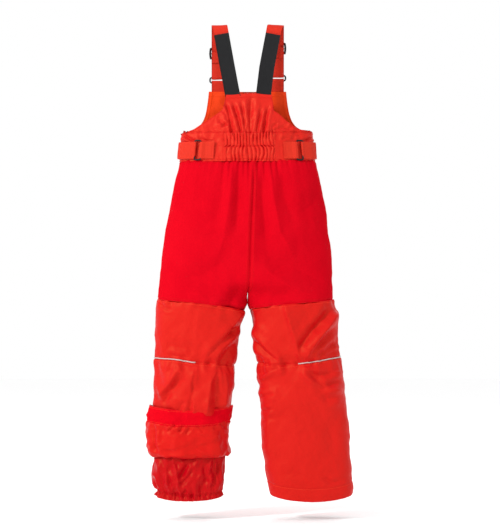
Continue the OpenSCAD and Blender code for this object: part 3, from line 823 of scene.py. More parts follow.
def leg_grid(side):
    cols = 230
    rows = 205 if side == LEFT else 260
    u = np.linspace(0, 1, cols)[None, :]
    v = np.linspace(0, 1, rows)[:, None]
    outer_z, inner_z = SEAT_SEAM[side]
    inward = np.abs(2 * u - 1) ** 1.6
    top = outer_z + (inner_z - outer_z) * inward
    facing = np.abs(np.sin(2 * math.pi * u))
    bottom = LEG_END[side] - (16.0 * facing ** 0.8 if side == RIGHT else 0)
    z = top + (bottom - top) * v
    p = trousers[side].at(u + 0 * z, z)
    n = grid_normals(p)
    x = p[..., 0]
    back = smooth((0.53 - u) / 0.06) * smooth((u + 0.02) / 0.04) + 0 * z
    d = np.zeros_like(z)
    d += back * ridges(x, z, LEG_BACK_RIDGES[side], 1.7)
    d += back * folds(x, z, LEG_BACK_FOLDS[side], 1.6) + (1 - back) * folds(x, z, LEG_FRONT_FOLDS[side], 1.6)
    run = u * LEG_ROUND + 0 * z
    from_top = top - z
    d += pucker(run, from_top, 14, 1.4, 14, 41 + side)
    knee = z - knee_line[side](x)
    d += pucker(run, knee, 12, 2.4, 15, 51 + side)
    d -= 2.0 * bell(knee, 2.4) + 0.9 * bell(knee, 9)
    d += 1.0 * bell(np.abs(knee) - 16, 11)
    d -= 1.5 * bell(from_top, 2.2)
    inseam = np.minimum(u, 1 - u) * LEG_ROUND + 0 * z
    outseam = np.abs(u - 0.5) * LEG_ROUND + 0 * z
    for seam, seed in ((inseam, 61), (outseam, 71)):
        d += pucker(z + 0 * u, seam, 19, 0.9, 12, seed + side)
        d -= 1.0 * bell(seam, 2.2)
    calm = 1 - 0.35 * smooth((-760 - z) / 100)
    d += calm * (1.5 * ripple(p, 95, 15 + side, (1, 1, 1.5)) + 0.55 * ripple(p, 38, 25 + side, (1, 1, 1.3)))
    d += 0.2 * ripple(p, 15, 35 + side)
    busy = 0.35 + np.exp(-np.abs(knee) / 55)
    grain = ((1, 1, 3.2), (2, 1, 1))[side]
    d += busy * (1.0 + 1.4 * smooth(-knee / 12) * (side == LEFT)) * crinkle(p, (30, 36)[side], 401 + side,
                                                                            grain)
    if side == RIGHT:
        up = z - bottom
        d -= 0.9 * bell(up - HEM_DEEP, 1.8)
        d += 0.7 * bell(up - 12, 8)
        d += pucker(run, up - HEM_DEEP, 16, 0.6, 9, 81)
    hold = smooth(inseam / 8)
    moved = p + n * (d * (0.4 + 0.6 * hold))[..., None]
    if side == LEFT:  # the leg gathers in where the cuff holds it
        centre = moved.mean(axis=1, keepdims=True)
        squeeze = 0.018 * smooth((CUFF_TOP + 6 - z) / 14)[..., None]
        moved[..., :2] += ((centre - moved) * squeeze)[..., :2]
    return moved, grid_normals(moved), top, bottom


def piping(side, name, p, n):
    """Reflective piping along the outer half of the knee seam, front and back."""
    a, b = PIPING_SPAN[side]
    cols = p.shape[1]
    line, norm = [], []
    for c in range(cols):
        x, z = p[:, c, 0], p[:, c, 2]
        gap = z - knee_line[side](x)
        i = int(np.argmax(gap < 0))
        f = gap[i - 1] / (gap[i - 1] - gap[i])
        q = p[i - 1, c] * (1 - f) + p[i, c] * f
        if a <= q[0] <= b:
            line.append(q)
            norm.append(n[i, c])
    line, norm = np.array(line), np.array(norm)
    lifted = line + norm * 1.3
    steps = 2 * len(lifted)
    o = tube(f"knee_piping_{name}", evenly(lifted, steps), 1.2, MATS["reflective_piping"], 10)
    piece(o, "reflective_piping", f"knee_piping_{name}", bend=knee_bend(name))


def build_legs():
    for side, name in enumerate(SIDES):
        p, n, top, bottom = leg_grid(side)
        inside = MATS["lining"] if side == LEFT else MATS["hem_facing"]
        o = cloth(f"leg_{name}", p, SHELL, MATS["leg_shell"], inside, normals=n)
        piece(o, "leg_shell", f"knee_band_{name}", f"shin_back_{name}", f"shin_front_{name}",
              *(["hem_facing_right"] if side == RIGHT else []), bend=knee_bend(name))
        piping(side, name, p, n)
        rows = p.shape[0]
        tall = np.linalg.norm(np.diff(p[:, 60], axis=0), axis=1).mean()
        lines = [surface_line(p, n, row=4.0 / tall)]
        if side == RIGHT:
            lines.append(surface_line(p, n, row=rows - 1 - HEM_DEEP / tall))
        knee_rows = [int(np.argmax(p[:, c, 2] < knee_line[side](p[120, c,
                                                                  0]) - 4)) for c in range(p.shape[1])]
        lines.append((np.array([p[r, c] for c, r in enumerate(knee_rows)]),
                      np.array([n[r, c] for c, r in enumerate(knee_rows)])))
        sew(f"leg_stitching_{name}", "leg_shell", lines, THREAD_PALE, bend=knee_bend(name))


# ---------------------------------------------------------------- gaiters and the turned-up cuff

def oval_rows(table, heights, columns, dip=0.0):
    """Rings from a table of (height, left, right, back, front), at heights, dipping at front and back."""
    parts = [table_curve([(r[0], r[k]) for r in table]) for k in range(1, 5)]
    rows = []
    for z in heights:
        ring = around(tuple(f(z) for f in parts), np.linspace(0, 360, 721))
        rows.append(evenly(ring, columns + 1)[:-1])
    xy = np.array(rows)
    share = np.linspace(0, 1, len(heights))[:, None]
    angle = np.linspace(0, 2 * math.pi, columns, endpoint=False)[None, :]
    zs = np.array(heights)[:, None] - dip * share**2 * np.abs(np.sin(angle)) ** 0.8
    return np.concatenate([xy, zs[..., None]], -1)


GAITER = [
    [(-815, -184, -46, -37, 37), (-868, -186, -44, -38, 38), (-892, -190, -47, -39, 39),
     (-917, -191.5, -47.5, -39.5, 39.5),
     (-929, -187, -49, -38, 38), (-935, -184, -51, -36.5, 36.5), (-943, -187, -48, -38, 38)],
    [(-815, 45, 193, -35, 35), (-870, 46, 193, -35, 35), (-905, 47, 195, -34, 34), (-922, 50, 194, -32, 32),
     (-928, 52, 192, -31, 31), (-936, 50, 194, -32, 32)],
]
GAITER_FOLDS = [
    ([(-112, -872), (-126, -895), (-142, -920)], 5.5, 3.4, 0.4),
    ([(-104, -884), (-118, -908), (-138, -928)], 4.0, 2.2, 0.0),
    ([(-86, -880), (-84, -905), (-78, -926)], 6.0, 2.8, 0.2),
    ([(-66, -884), (-76, -905), (-84, -928)], 5.0, 2.4, -0.2),
    ([(-54, -878), (-62, -908), (-72, -935)], 6.0, 3.2, 0.2),
    ([(-160, -880), (-158, -905), (-150, -930)], 6.0, 2.8, 0.0),
    ([(-178, -885), (-170, -912), (-168, -935)], 6.0, 2.4, 0.0),
    ([(-140, -874), (-152, -888), (-158, -900)], 5.0, 1.6, 0.0),
    ([(-120, -932), (-128, -940), (-130, -950)], 3.0, 1.6, 0.0),
]


def build_gaiters():
    for side, name in enumerate(SIDES):
        end = GAITER[side][-1][0]
        heights = np.linspace(-815, end, 96)
        p = oval_rows(GAITER[side], heights, 300, dip=(12.0, 8.0)[side])
        n = grid_normals(p)
        x, z = p[..., 0], p[..., 2]
        back = smooth(-p[..., 1] / 14)
        d = np.zeros_like(x)
        if side == LEFT:
            d += back * folds(x, z, GAITER_FOLDS, 1.5)
            d += smooth(p[..., 1] / 14) * folds(-237 - x, z, GAITER_FOLDS, 1.5)
        run = np.arange(300)[None, :] * 1.35 + 0 * x
        line = heights[:, None] + 0 * x
        near = np.exp(-np.abs(line - (GAITER[side][-2][0])) / 11)
        gathers = ripple(np.stack([run, line * 0.10, 0 * run], -1), 8.0, 90 + side)
        d += 1.7 * near * gathers
        d += 1.0 * ripple(np.stack([run, line * 0.35, 0 * run], -1), 24, 92 + side)
        d += 1.1 * ripple(p, 60, 93 + side, (1, 1, 1.6)) + 0.35 * ripple(p, 16, 94)
        d += 3.2 * crinkle(p, 22, 431 + side, (1, 1, 3))
        d -= 1.3 * bell(line - GAITER[side][-2][0], 2.2)
        p = p + n * d[..., None]
        o = cloth(f"snow_gaiter_{name}", p, 1.0, MATS["gaiter"], MATS["gaiter"], closed=True)
        piece(o, "gaiter", f"gaiter_{name}", body=f"{name}_shin")
        sink = grid_normals(p)
        rows = [len(heights) - 1 - k for k in (9, 3)]
        band = (p - sink * 1.6)[rows[0]:rows[1] + 1]
        e = cloth(f"gaiter_hem_elastic_{name}", band, 0.8, MATS["hem_elastic"], closed=True)
        piece(e, "hem_elastic", f"gaiter_elastic_{name}", body=f"{name}_shin")
        lines = [surface_line(p, sink, row=len(heights) - 1 - k) for k in (9.5, 2.0)]
        thread = sew(f"gaiter_stitching_{name}", "gaiter", lines, THREAD, 2.8, 1.9, 0.26, body=f"{name}_shin")


CUFF = [(-766, -195.5, -31.5, -47, 47), (-776, -197.5, -32, -49, 49), (-800, -200, -35, -50, 50),
        (-831, -202.5, -36.5, -51, 51), (-850, -201, -34, -50.5, 50.5), (-860, -198, -33, -49, 49),
        (-865, -195, -36, -46.5, 46.5), (-867.5, -192.5, -40, -43.5, 43.5)]
CUFF_FOLDS = [
    ([(-140, -800), (-149, -808), (-160, -819)], 3.2, 2.2, 0.3),
    ([(-124, -802), (-132, -812), (-138, -820)], 3.2, 2.2, 0.0),
    ([(-113, -803), (-116, -814), (-124, -824)], 3.2, 1.6, 0.0),
    ([(-100, -803), (-92, -812), (-84, -822)], 3.0, 1.2, 0.0),
    ([(-186, -796), (-187, -830), (-184, -863)], 4.5, 2.8, -0.5),
    ([(-172, -806), (-130, -826), (-60, -820)], 16, 1.5, 0.2),
    ([(-140, -868), (-96, -846), (-48, -834)], 12, 2.2, 0.3),
    ([(-176, -858), (-130, -850), (-90, -838)], 9, 1.4, 0.0),
    ([(-60, -806), (-50, -826), (-40, -850)], 8, 1.6, 0.0),
    ([(-44, -780), (-42, -800), (-44, -830)], 6, 1.6, 0.3),
]
FACING_DEEP = 31.0
CUFF_COLUMNS = 300


def cuff_grid():
    heights = np.concatenate([np.linspace(-766, -850, 64), np.linspace(-851.5, -867.5, 15)])
    p = oval_rows(CUFF, heights, CUFF_COLUMNS)
    angle = np.linspace(0, 2 * math.pi, CUFF_COLUMNS, endpoint=False)[None, :]
    share = ((heights - heights[0]) / (heights[-1] - heights[0]))[:, None]
    # The hem's edge dips in the middle of the back and the fold sags a little
    p[..., 2] -= (1 - share) * 9.0 * np.clip(np.abs(np.sin(angle)), 0, 1) ** 1.3
    p[..., 2] -= share * 3.0 * np.abs(np.sin(angle))
    n = grid_normals(p)
    x, z = p[..., 0], p[..., 2]
    back = smooth(-p[..., 1] / 14)
    d = np.zeros_like(x)
    d += back * folds(x, z, CUFF_FOLDS, 1.5) + smooth(p[..., 1] / 14) * folds(-236 - x, z, CUFF_FOLDS, 1.5)
    run = np.arange(CUFF_COLUMNS)[None, :] * 1.5 + 0 * x
    under = p[:1, :, 2] - FACING_DEEP - z
    d += pucker(run, under, 9, 1.5, 9, 101) * (under > -1)
    d += pucker(run, z + 866, 22, 1.3, 20, 102)
    d += 1.6 * ripple(p, 70, 103, (1, 1, 0.9)) + 0.5 * ripple(p, 22, 104)
    d += 1.5 * crinkle(p, 24, 421, (2.2, 1, 1))
    d -= 1.2 * bell(under + 0.5, 2)
    d += 0.9 * (under < -1)
    return p + n * d[..., None], under


def build_cuff():
    p, under = cuff_grid()
    n = grid_normals(p)
    o = cloth("cuff_left_shell", p, 2.4, MATS["lining"], MATS["leg_shell"], closed=True, normals=n, rim=5)
    polys = o.data.polygons
    o.data.materials.append(MATS["hem_facing"])
    band = under < 0
    rows = p.shape[0] - 1
    for i in range(rows):
        for j in range(CUFF_COLUMNS):
            if band[i, j]:
                polys[i * CUFF_COLUMNS + j].material_index = 2
    piece(o, "lining", "cuff_left", "cuff_facing_left", body="left_cuff")
    # Stitches where the facing ends, and along the hem's edge
    lines = []
    for depth in (FACING_DEEP - 1.5, 3.0):
        pick = np.argmin(np.abs(p[:1, :, 2] - depth - p[..., 2]), axis=0)
        cols = np.arange(CUFF_COLUMNS)
        lines.append((evenly(p[pick, cols], CUFF_COLUMNS), n[pick, cols]))
    sew("cuff_stitching", "lining", lines, THREAD_PALE, body="left_cuff")


# ---------------------------------------------------------------- bib, waistband and yokes

THIN = 1.8
FRONT_HALF = table_curve([(-139, 77.5), (-160, 80), (-180, 83.5), (-195, 88.5), (-207, 97), (-215, 109),
                          (-220, 122), (-224.5, 137)])
BACK_LEFT = table_curve([(-146, -43), (-160, -45), (-175, -49), (-186, -62), (-198, -80), (-210, -98),
                         (-218, -113), (-224.5, -137)])
BACK_RIGHT = table_curve([(-146, 48), (-160, 50), (-177, 52), (-188, 65), (-201, 80), (-212, 95),
                          (-217, 109), (-221.5, 137)])
SHIR_LEFT = table_curve([(-146, -30), (-222, -46), (-278, -46)])
SHIR_RIGHT = table_curve([(-146, 34), (-222, 55), (-278, 55)])
SHIR_SEAMS = (-222.0, -250.0, -276.5)
BIB_FOLDS = [
    ([(-44, -158), (-38, -180), (-33, -206), (-31, -220)], 3.6, 3.4, 0.5),
    ([(-30, -160), (-23, -180), (-17, -200), (-13, -219)], 4.0, 3.6, 0.3),
    ([(-13, -158), (-9, -180), (-6, -200), (-4, -219)], 3.6, 3.2, 0.2),
    ([(8, -143), (7, -160), (6, -180), (5, -219)], 6.0, 3.6, 0.0),
    ([(29, -172), (24, -192), (19, -219)], 3.6, 3.2, -0.3),
    ([(44, -166), (38, -186), (33, -219)], 4.0, 3.4, -0.4),
    ([(-48, -176), (-42, -190), (-40, -205)], 3.2, 2.4, 0.0),
    ([(-58, -196), (-50, -204), (-40, -208)], 3.6, 1.8, 0.0),
    ([(-54, -214), (-46, -208), (-36, -204)], 3.0, 2.2, 0.0),
    ([(62, -204), (54, -208), (46, -214)], 3.2, 2.0, 0.0),
    ([(92, -216), (72, -212), (52, -218)], 4.0, 1.8, 0.3),
    ([(-100, -222), (-80, -214), (-58, -218)], 5.0, 1.4, 0.0),
]
YOKE_FOLDS = [
    ([(-132, -225), (-118, -233), (-106, -241)], 3.4, 3.4, 0.6),
    ([(-96, -233), (-84, -239), (-72, -240)], 3.2, 1.6, 0.0),
    ([(-64, -232), (-58, -250), (-56, -272)], 5.0, 1.2, 0.0),
    ([(132, -228), (122, -236), (110, -243)], 3.4, 2.8, -0.4),
    ([(100, -235), (86, -230), (72, -236)], 4.0, 1.4, 0.0),
    ([(66, -234), (64, -254), (68, -272)], 4.0, 1.4, 0.0),
    ([(74, -228), (90, -224), (104, -228)], 4.0, 1.2, 0.0),
]


def across(z, face, x_left, x_right, columns):
    """The body's front (1) or back (-1) at a height, from one x to another."""
    ring = around((body_left(z), body_right(z), back_at(z), front_at(z)), face * np.linspace(180, 0, 721))
    run = np.concatenate([[0], np.cumsum(np.linalg.norm(np.diff(ring, axis=0), axis=1))])
    ends = np.interp((x_left, x_right), ring[:, 0], run)
    want = np.linspace(*ends, columns)
    return np.stack([np.interp(want, run, ring[:, k]) for k in (0, 1)] + [np.full(columns, z)], -1)


def sewn(d, z, seams, depth, width):
    for s in seams:
        d -= depth * bell(z - s, width)
    return d


def build_front():
    zs = np.concatenate([np.linspace(-139, -226, 90), np.linspace(-227, WAIST_LOW, 46)])
    p = np.array([across(z, 1, -FRONT_HALF(z), FRONT_HALF(z), 210) for z in zs])
    n = grid_normals(p, [0, 0, -200])
    x, z = p[..., 0], p[..., 2]
    d = 0.9 * ripple(p, 60, 201, (1, 1, 1.4)) + 0.25 * ripple(p, 20, 202)
    d += pucker(x, z + 225, 14, 0.9, 12, 203)
    for path, width, depth in (([(-60, -150), (-44, -185), (-50, -222)], 8, 1.3),
                               ([(58, -152), (46, -190), (56, -222)], 8, 1.3),
                               ([(-100, -232), (-60, -244), (-20, -240)], 8,
                                1.2), ([(100, -234), (60, -246), (20, -240)], 8, 1.2)):
        d += fold(x, z, path, width, depth)
    d = sewn(d, z, (-225.5, WAIST_LOW + 1), 1.3, 2.2)
    # A placket stands beside the zipper
    d += 0.8 * smooth((17 - np.abs(x)) / 2.5) * smooth((-139.5 - z) / 1)
    edge = np.minimum(np.arange(210), 209 - np.arange(210))[None, :] * np.ptp(x, axis=1)[:, None] / 209
    d -= 0.5 * bell(edge - 6, 1.2) * (z > -226)
    d -= 0.5 * bell(z + 146, 1.2)
    p = p + n * d[..., None]
    n = grid_normals(p, [0, 0, -200])
    o = cloth("front_bib_panel", p, THIN, MATS["bib_shell"], normals=n)
    piece(o, "bib_shell", "front_bib", "front_waist", body="root")
    lines = [surface_line(p, n, row=7.2), surface_line(p, n, row=87), surface_line(p, n, row=93),
             surface_line(p, n, row=132)]
    sides = [surface_line(p[:89], n[:89], col=c) for c in (9, 199.5)]
    thread = sew("front_stitching", "bib_shell", lines + sides, THREAD_PALE, body="root")


SEGMENTS = (84, 150, 84)


def build_back():
    top_z = -146.0
    zs = np.concatenate([np.linspace(top_z, -221.6, 120), np.linspace(-222.0, WAIST_LOW, 96)])
    rows = []
    for z in zs:
        edges = (BACK_LEFT(z), SHIR_LEFT(z), SHIR_RIGHT(z), BACK_RIGHT(z))
        pieces = [across(z, -1, edges[k], edges[k + 1], SEGMENTS[k])[(1 if k else 0):] for k in range(3)]
        rows.append(np.concatenate(pieces))
    p = np.array(rows)
    n = grid_normals(p, [0, 0, -200])
    x, z = p[..., 0], p[..., 2]
    flat = p * (1, 0, 1)
    # The top edge dips where it is pulled by the elastics
    p[..., 2] += 1.5 * np.cos((x - 6) / 44 * math.pi) * smooth((z + 176) / 30)
    d = np.zeros_like(x)
    for path, width, depth, lean in BIB_FOLDS + YOKE_FOLDS:
        d += fold(x, z, path, width, 1.3 * depth, lean, open_end=path[-1][1] < -217)
    # Gathers run on above the elastic, then all the way through it
    inside = smooth((x - SHIR_LEFT(z) + 2) / 5) * smooth((SHIR_RIGHT(z) + 2 - x) / 5)
    lower = smooth((-247 - z) / 6)
    s = (x / (6.6 + 1.2 * lower) + 0.18 * ripple(flat, 24, 301, (1, 1, 2.5))
         + 0.15 * lower * ripple(flat, 18, 303, (1, 1, 2.2)))
    ridge = 1.25 * np.abs(np.sin(math.pi * s)) ** 0.6 - 0.9
    size = 3.1 * (0.85 + 0.35 * ripple(flat, 12, 304, (1, 1, 2)))
    down = smooth((-219 - z) / 4)
    fade = np.exp(-np.clip(z + 222, 0, 99) / 11) * (1 - down)
    d += inside * ridge * size * (down + 0.5 * fade)
    d += (1.1 * down * inside * (1 - ((z + 236) / 14) ** 2) * (z > -250)
          + 1.1 * inside * (1 - ((z + 263) / 13) ** 2) * (z < -250))
    d = sewn(d, z, SHIR_SEAMS, 1.4, 1.6)
    d = sewn(d, x + 1e3 * (z > -222), (-46.0, 55.0), 0.9, 1.6)
    d += (1 - inside) * pucker(x, z + 222, 11, 0.9, 9, 305)
    d += 0.5 * ripple(p, 45, 306, (1, 1, 1.5)) + 0.22 * ripple(p, 13, 307)
    d += (1 - inside * down) * smooth((-160 - z) / 15) * 0.9 * crinkle(p, 20, 451, (1, 1, 2.4))
    # The waist webbing presses the yokes flat, and its rings sink in a little
    pressed = smooth((21 - np.abs(z - WAIST_Z)) / 5) * (1 - inside)
    sunk = sum(bell(x - ring, 9) for ring in WAIST_RING_X)
    d = d * (1 - 0.7 * pressed) - 1.3 * pressed * sunk
    # Edge binding down the armholes and along the top
    count = x.shape[1]
    edge = np.minimum(np.arange(count), count - 1 - np.arange(count))[None, :] * 0.75
    d -= 0.5 * bell(edge - 6, 1.3) * (z > -222)
    d -= 0.5 * bell(z - (top_z - 7), 1.3)
    p = p + n * d[..., None]
    n = grid_normals(p, [0, 0, -200])
    split = 119
    a, b = SEGMENTS[0] - 1, SEGMENTS[0] + SEGMENTS[1] - 2
    cuts = {"back_bib": (slice(0, split + 1), slice(None)),
            "waist_yoke_left": (slice(split, None), slice(0, a + 1)),
            "shirred_waist": (slice(split, None), slice(a, b + 1)), "waist_yoke_right": (slice(split, None),
                                                                                         slice(b, None))}
    for node, (r, c) in cuts.items():
        thick = THIN if node == "back_bib" else 3.0
        o = cloth(node + "_cloth", p[r, c], thick, MATS["upper_shell"], normals=n[r, c])
        piece(o, "upper_shell", node, body="root")
    lines = [surface_line(p, n, row=split - 3), surface_line(p, n, row=split + 3),
             surface_line(p, n, row=len(zs) - 3)]
    middle = split + int((250 - 222) / (-WAIST_LOW - 222) * 95)
    lines += [surface_line(p[:, a:b], n[:, a:b], row=middle + k) for k in (0, 3)]
    lines.append(surface_line(p, n, row=10))
    lines += [surface_line(p[:split], n[:split], col=c) for c in (7.5, count - 9)]
    lines += [surface_line(p[split:], n[split:], col=c) for c in (a - 2.5, b + 2.5)]
    sew("back_stitching", "upper_shell", lines, THREAD, 2.8, 2.0, 0.28, body="root")


# ---------------------------------------------------------------- webbing and elastic

STRAP_WIDE = 30.0
WEB = 1.8
STRAP_X = (-57.0, 58.0)
RING_Z = (-115.0, -111.0)
RING_Y = 20.4
GLIDE_Z = (-62.0, -52.0)
FOLD_R = 8.0
FOLD_Z = -FOLD_R - DATUM
TAB_Y = 20.2
ELASTIC = [[(-52, -13.4, -26), (-40, -15.2, -92), (-30, -16.9, -145), (-27.5, -19.6, -157)],
           [(51, -13.4, -26), (38.5, -15.2, -92), (32, -16.9, -145), (30.5, -19.6, -157)]]


def strap_lean(side):
    """How far a front strap moves forward for each mm it falls."""
    return (RING_Y + 2.8 - FOLD_R - WEB / 2) / (FOLD_Z - (RING_Z[side] + 6.3))


def strap_y(side, z):
    return FOLD_R + WEB / 2 + (FOLD_Z - z) * strap_lean(side)


def upright(x, path, steps):
    """An even line at one x, from (y, z) points."""
    return evenly(np.array([(x, y, z) for y, z in path], float), steps)


def ribbon(name, line, mat, width=STRAP_WIDE, thick=WEB, wave=0.25, seed=0, lean=0.0, columns=17):
    """A band of webbing whose middle follows a line; lean tips its width to cross a sideways run."""
    lean = lean + np.zeros(len(line))
    side = np.stack([np.ones(len(line)), 0 * lean, -lean], -1)
    side /= np.linalg.norm(side, axis=1, keepdims=True)
    j = np.linspace(-0.5, 0.5, columns)
    p = line[:, None, :] + j[None, :, None] * width * side[:, None, :]
    n = np.cross(np.gradient(p, axis=1), np.gradient(p, axis=0))
    n /= np.linalg.norm(n, axis=-1, keepdims=True)
    d = wave * ripple(p, 26, 400 + seed) - 0.45 * np.abs(2 * j[None, :]) ** 8
    p = p + n * (d[..., None] + thick / 2)
    return cloth(name, p, thick, mat, normals=n), p, n


def band_stitches(name, p, n, spots, mat):
    """Rows of stitches across a band at the given shares of its length."""
    rows = p.shape[0] - 1
    out = []
    for i, share in enumerate(spots):
        line, norm = surface_line(p[:, 1:-1], n[:, 1:-1], row=min(share * rows, rows - 0.01))
        out.append(stitches(f"{name}_{i}", line, norm, mat, 2.4, 1.7, 0.3))
    return out


def arc(centre, radius, start, stop, count=12):
    a = np.radians(np.linspace(start, stop, count))
    return [(centre[0] + radius * math.cos(t), centre[1] + radius * math.sin(t)) for t in a]


def build_straps():
    for side, name in enumerate(SIDES):
        bar = RING_Z[side] + 7 - 1.7
        loop = 1.7 + 0.9 + WEB / 2  # the webbing lies loosely round the wire
        x = STRAP_X[side]
        # From behind the shoulder, leaning like the elastic, over the fold and down to the ring's bar
        top = np.array(ELASTIC[side][0], float)
        slope = (ELASTIC[side][1][0] - top[0]) / (ELASTIC[side][1][2] - top[2])
        path = [(-FOLD_R - WEB / 2 - 1.2, -34)] + arc((0, FOLD_Z), FOLD_R + WEB / 2, 180, 0, 17)
        path += [(RING_Y + loop, bar + 1)] + arc((RING_Y, bar), loop, 0, -180) + [(RING_Y - loop, bar + 1)]
        line = evenly(np.array([(x, y, z) for y, z in path]), 150)
        behind = smooth((2 - line[:, 1]) / 10) * (np.arange(150) < 60)
        line[:, 0] += behind * (top[0] + slope * (line[:, 2] - top[2]) - x)
        lean = behind * slope
        o, p, n = ribbon(f"shoulder_strap_{name}_web", line, MATS["webbing"], seed=side, lean=lean)
        piece(o, "webbing", f"shoulder_strap_{name}", body="root")
        line = evenly(np.array(ELASTIC[side], float), 70)
        lean = np.gradient(line[:, 0]) / np.gradient(line[:, 2])
        e, q, m = ribbon(f"back_elastic_{name}_band", line, MATS["elastic"], wave=0.12, seed=4 + side,
                         lean=lean)
        piece(e, "elastic", f"back_elastic_{name}", body="root")
        # The sewn end: up from the ring, round the buckle's middle bar and down to its stitches
        gz = GLIDE_Z[side]
        bar_y = strap_y(side, gz) - WEB * 1.5 - 0.4 - 1.0
        turn = 1.0 + 0.15 + WEB / 2
        end = [(RING_Y - loop, bar + 1.2), (bar_y + turn, gz - 3)] + arc((bar_y, gz), turn, 0, 180, 9)
        end += [(bar_y - turn + 0.6, gz - 5), (bar_y + turn - WEB + 0.2, gz - 18.5)]
        w, _, _ = ribbon(f"strap_end_{name}_web", upright(x, end, 90), MATS["webbing"], wave=0.1,
                           seed=8 + side)
        piece(w, "webbing", f"strap_end_{name}", bend=("root", f"{name}_tri_glide", at_height(bar + 1),
                                                       at_height(gz - 20)))
        # Tab: over the ring's lower bar and down the outside of the front bib
        low_bar = RING_Z[side] - 7 + 1.7
        tab = [(TAB_Y + WEB + 1.9, -157.5), (TAB_Y + WEB + 0.4, -141)] + arc((RING_Y, low_bar), loop, 0, 180)
        tab += [(TAB_Y, -141), (TAB_Y + 1.4, -157.5)]
        t, tp, tn = ribbon(f"strap_tab_{name}_web", upright(x, tab, 80), MATS["webbing"], wave=0.1,
                           seed=12 + side)
        piece(t, "webbing", f"strap_tab_{name}", body="root")
        parts = band_stitches(f"strap_stitch_{name}", p, n, (0.012, 0.03), THREAD)
        parts += band_stitches(f"elastic_stitch_{name}", q, m, (0.025,), THREAD)
        parts += band_stitches(f"tab_stitch_{name}", tp, tn, (0.02, 0.08), THREAD_PALE)
        thread = join(f"strap_stitching_{name}", parts)
        piece(thread, "webbing", body="root")


# ---------------------------------------------------------------- hardware

def ring_line(width, height, corner, count=72):
    """A rounded rectangle in the X-Z plane."""
    pts = []
    for sx, sz, start in ((1, 1, 0), (-1, 1, 90), (-1, -1, 180), (1, -1, 270)):
        for a in np.radians(np.linspace(start, start + 90, 9)):
            pts.append((sx * (width / 2 - corner) + corner * math.cos(a), 0,
                        sz * (height / 2 - corner) + corner * math.sin(a)))
    pts.append(pts[0])
    return evenly(np.array(pts), count + 1)[:-1]


def build_hardware():
    for side, name in enumerate(SIDES):
        x = STRAP_X[side]
        ring = tube(f"strap_ring_{name}_wire", ring_line(36.6, 10.6, 4.2) + (x, RING_Y, RING_Z[side]), 1.6,
                    MATS["ring_metal"], 14, True)
        piece(ring, "ring_metal", f"strap_ring_{name}", body="root")
        # Ladder buckle: two thick bowed rails, outer bars with a grip lip, a middle bar behind
        gz = GLIDE_Z[side]
        parts = []
        for s in (-1, 1):
            rail = [(s * (16.4 + 1.5 * math.cos(t * math.pi / 2)), -0.9, 11.0 * t) for t in np.linspace(-1,
                                                                                                        1,
                                                                                                        17)]
            parts.append(tube(f"rail_{name}_{s}", rail, 2.0, MATS["buckle_plastic"], 14, squash=1.3))
            lip = [(17.4 * t, 2.1, s * (11.0 - 0.8 * t * t)) for t in np.linspace(-0.96, 0.96, 17)]
            parts.append(tube(f"lip_{name}_{s}", lip, 1.4, MATS["buckle_plastic"], 12))
        parts.append(tube(f"middle_{name}", [(17.4 * t, -4.1, 0) for t in np.linspace(-1, 1, 9)], 1.0,
                          MATS["buckle_plastic"], 12))
        for o in parts:
            o.rotation_euler = (math.atan(strap_lean(side)), 0, 0)
            o.location = (x * MM, strap_y(side, gz) * MM, gz * MM)
        buckle = join(f"tri_glide_{name}_buckle", parts)
        piece(buckle, "buckle_plastic", f"tri_glide_{name}", body=f"{name}_tri_glide")


WAIST_Z = -258.0
WAIST_RING_X = (-99.0, 104.0)
RING_TURN = (math.radians(-17), math.radians(19))
RING_TILT = math.radians(-5.7)
WAIST_WEB = 32.0


def waist_point(x, z, out):
    """A point off the back of the waist, at a distance from its surface."""
    def y_at(q):
        a, b = (body_right(z) - body_left(z)) / 2, (front_at(z) - back_at(z)) / 2
        share = np.clip(np.abs(q - (body_left(z) + body_right(z)) / 2) / a, 0, 1)
        return (front_at(z) + back_at(z)) / 2 - b * np.maximum(0, 1 - share**SQUARENESS) ** (1 / SQUARENESS)
    slope = (y_at(x + 0.5) - y_at(x - 0.5))
    n = np.array([slope, -1.0]) / math.hypot(slope, 1)
    return np.array([x + n[0] * out, y_at(x) + n[1] * out, z])


def round_waist(start, stop, out, z, count):
    """Points round the waist's outline between two angles, at a distance from it."""
    ring = around((body_left(z), body_right(z), back_at(z), front_at(z)), np.linspace(start, stop, count))
    ahead = np.gradient(ring, axis=0)
    n = np.stack([ahead[:, 1], -ahead[:, 0]], -1)
    n /= np.linalg.norm(n, axis=1, keepdims=True)
    middle = np.array([(body_left(z) + body_right(z)) / 2, 0])
    n *= np.sign(np.sum(n * (ring - middle), axis=1, keepdims=True))
    return np.concatenate([ring + n * out, np.full((count, 1), z)], 1)


def waist_band(name, middle_path, mat, seed):
    """A band standing on edge: rows up its width, columns along its path."""
    v = np.linspace(0.5, -0.5, 15)
    line = evenly(np.array(middle_path), 120)
    p = line[None, :, :] + v[:, None, None] * np.array([0, 0, WAIST_WEB])
    lean = math.tan(-RING_TILT)
    away = line[:, :2] - np.array([2.0, 0])
    away /= np.linalg.norm(away, axis=1, keepdims=True)
    p[..., :2] -= v[:, None, None] * WAIST_WEB * lean * away[None] * 0.8
    n = grid_normals(p)
    d = 0.25 * ripple(p, 24, seed) - 0.4 * np.abs(2 * v[:, None]) ** 8
    p = p + n * d[..., None]
    return cloth(name, p, WEB, mat, normals=n), p, n


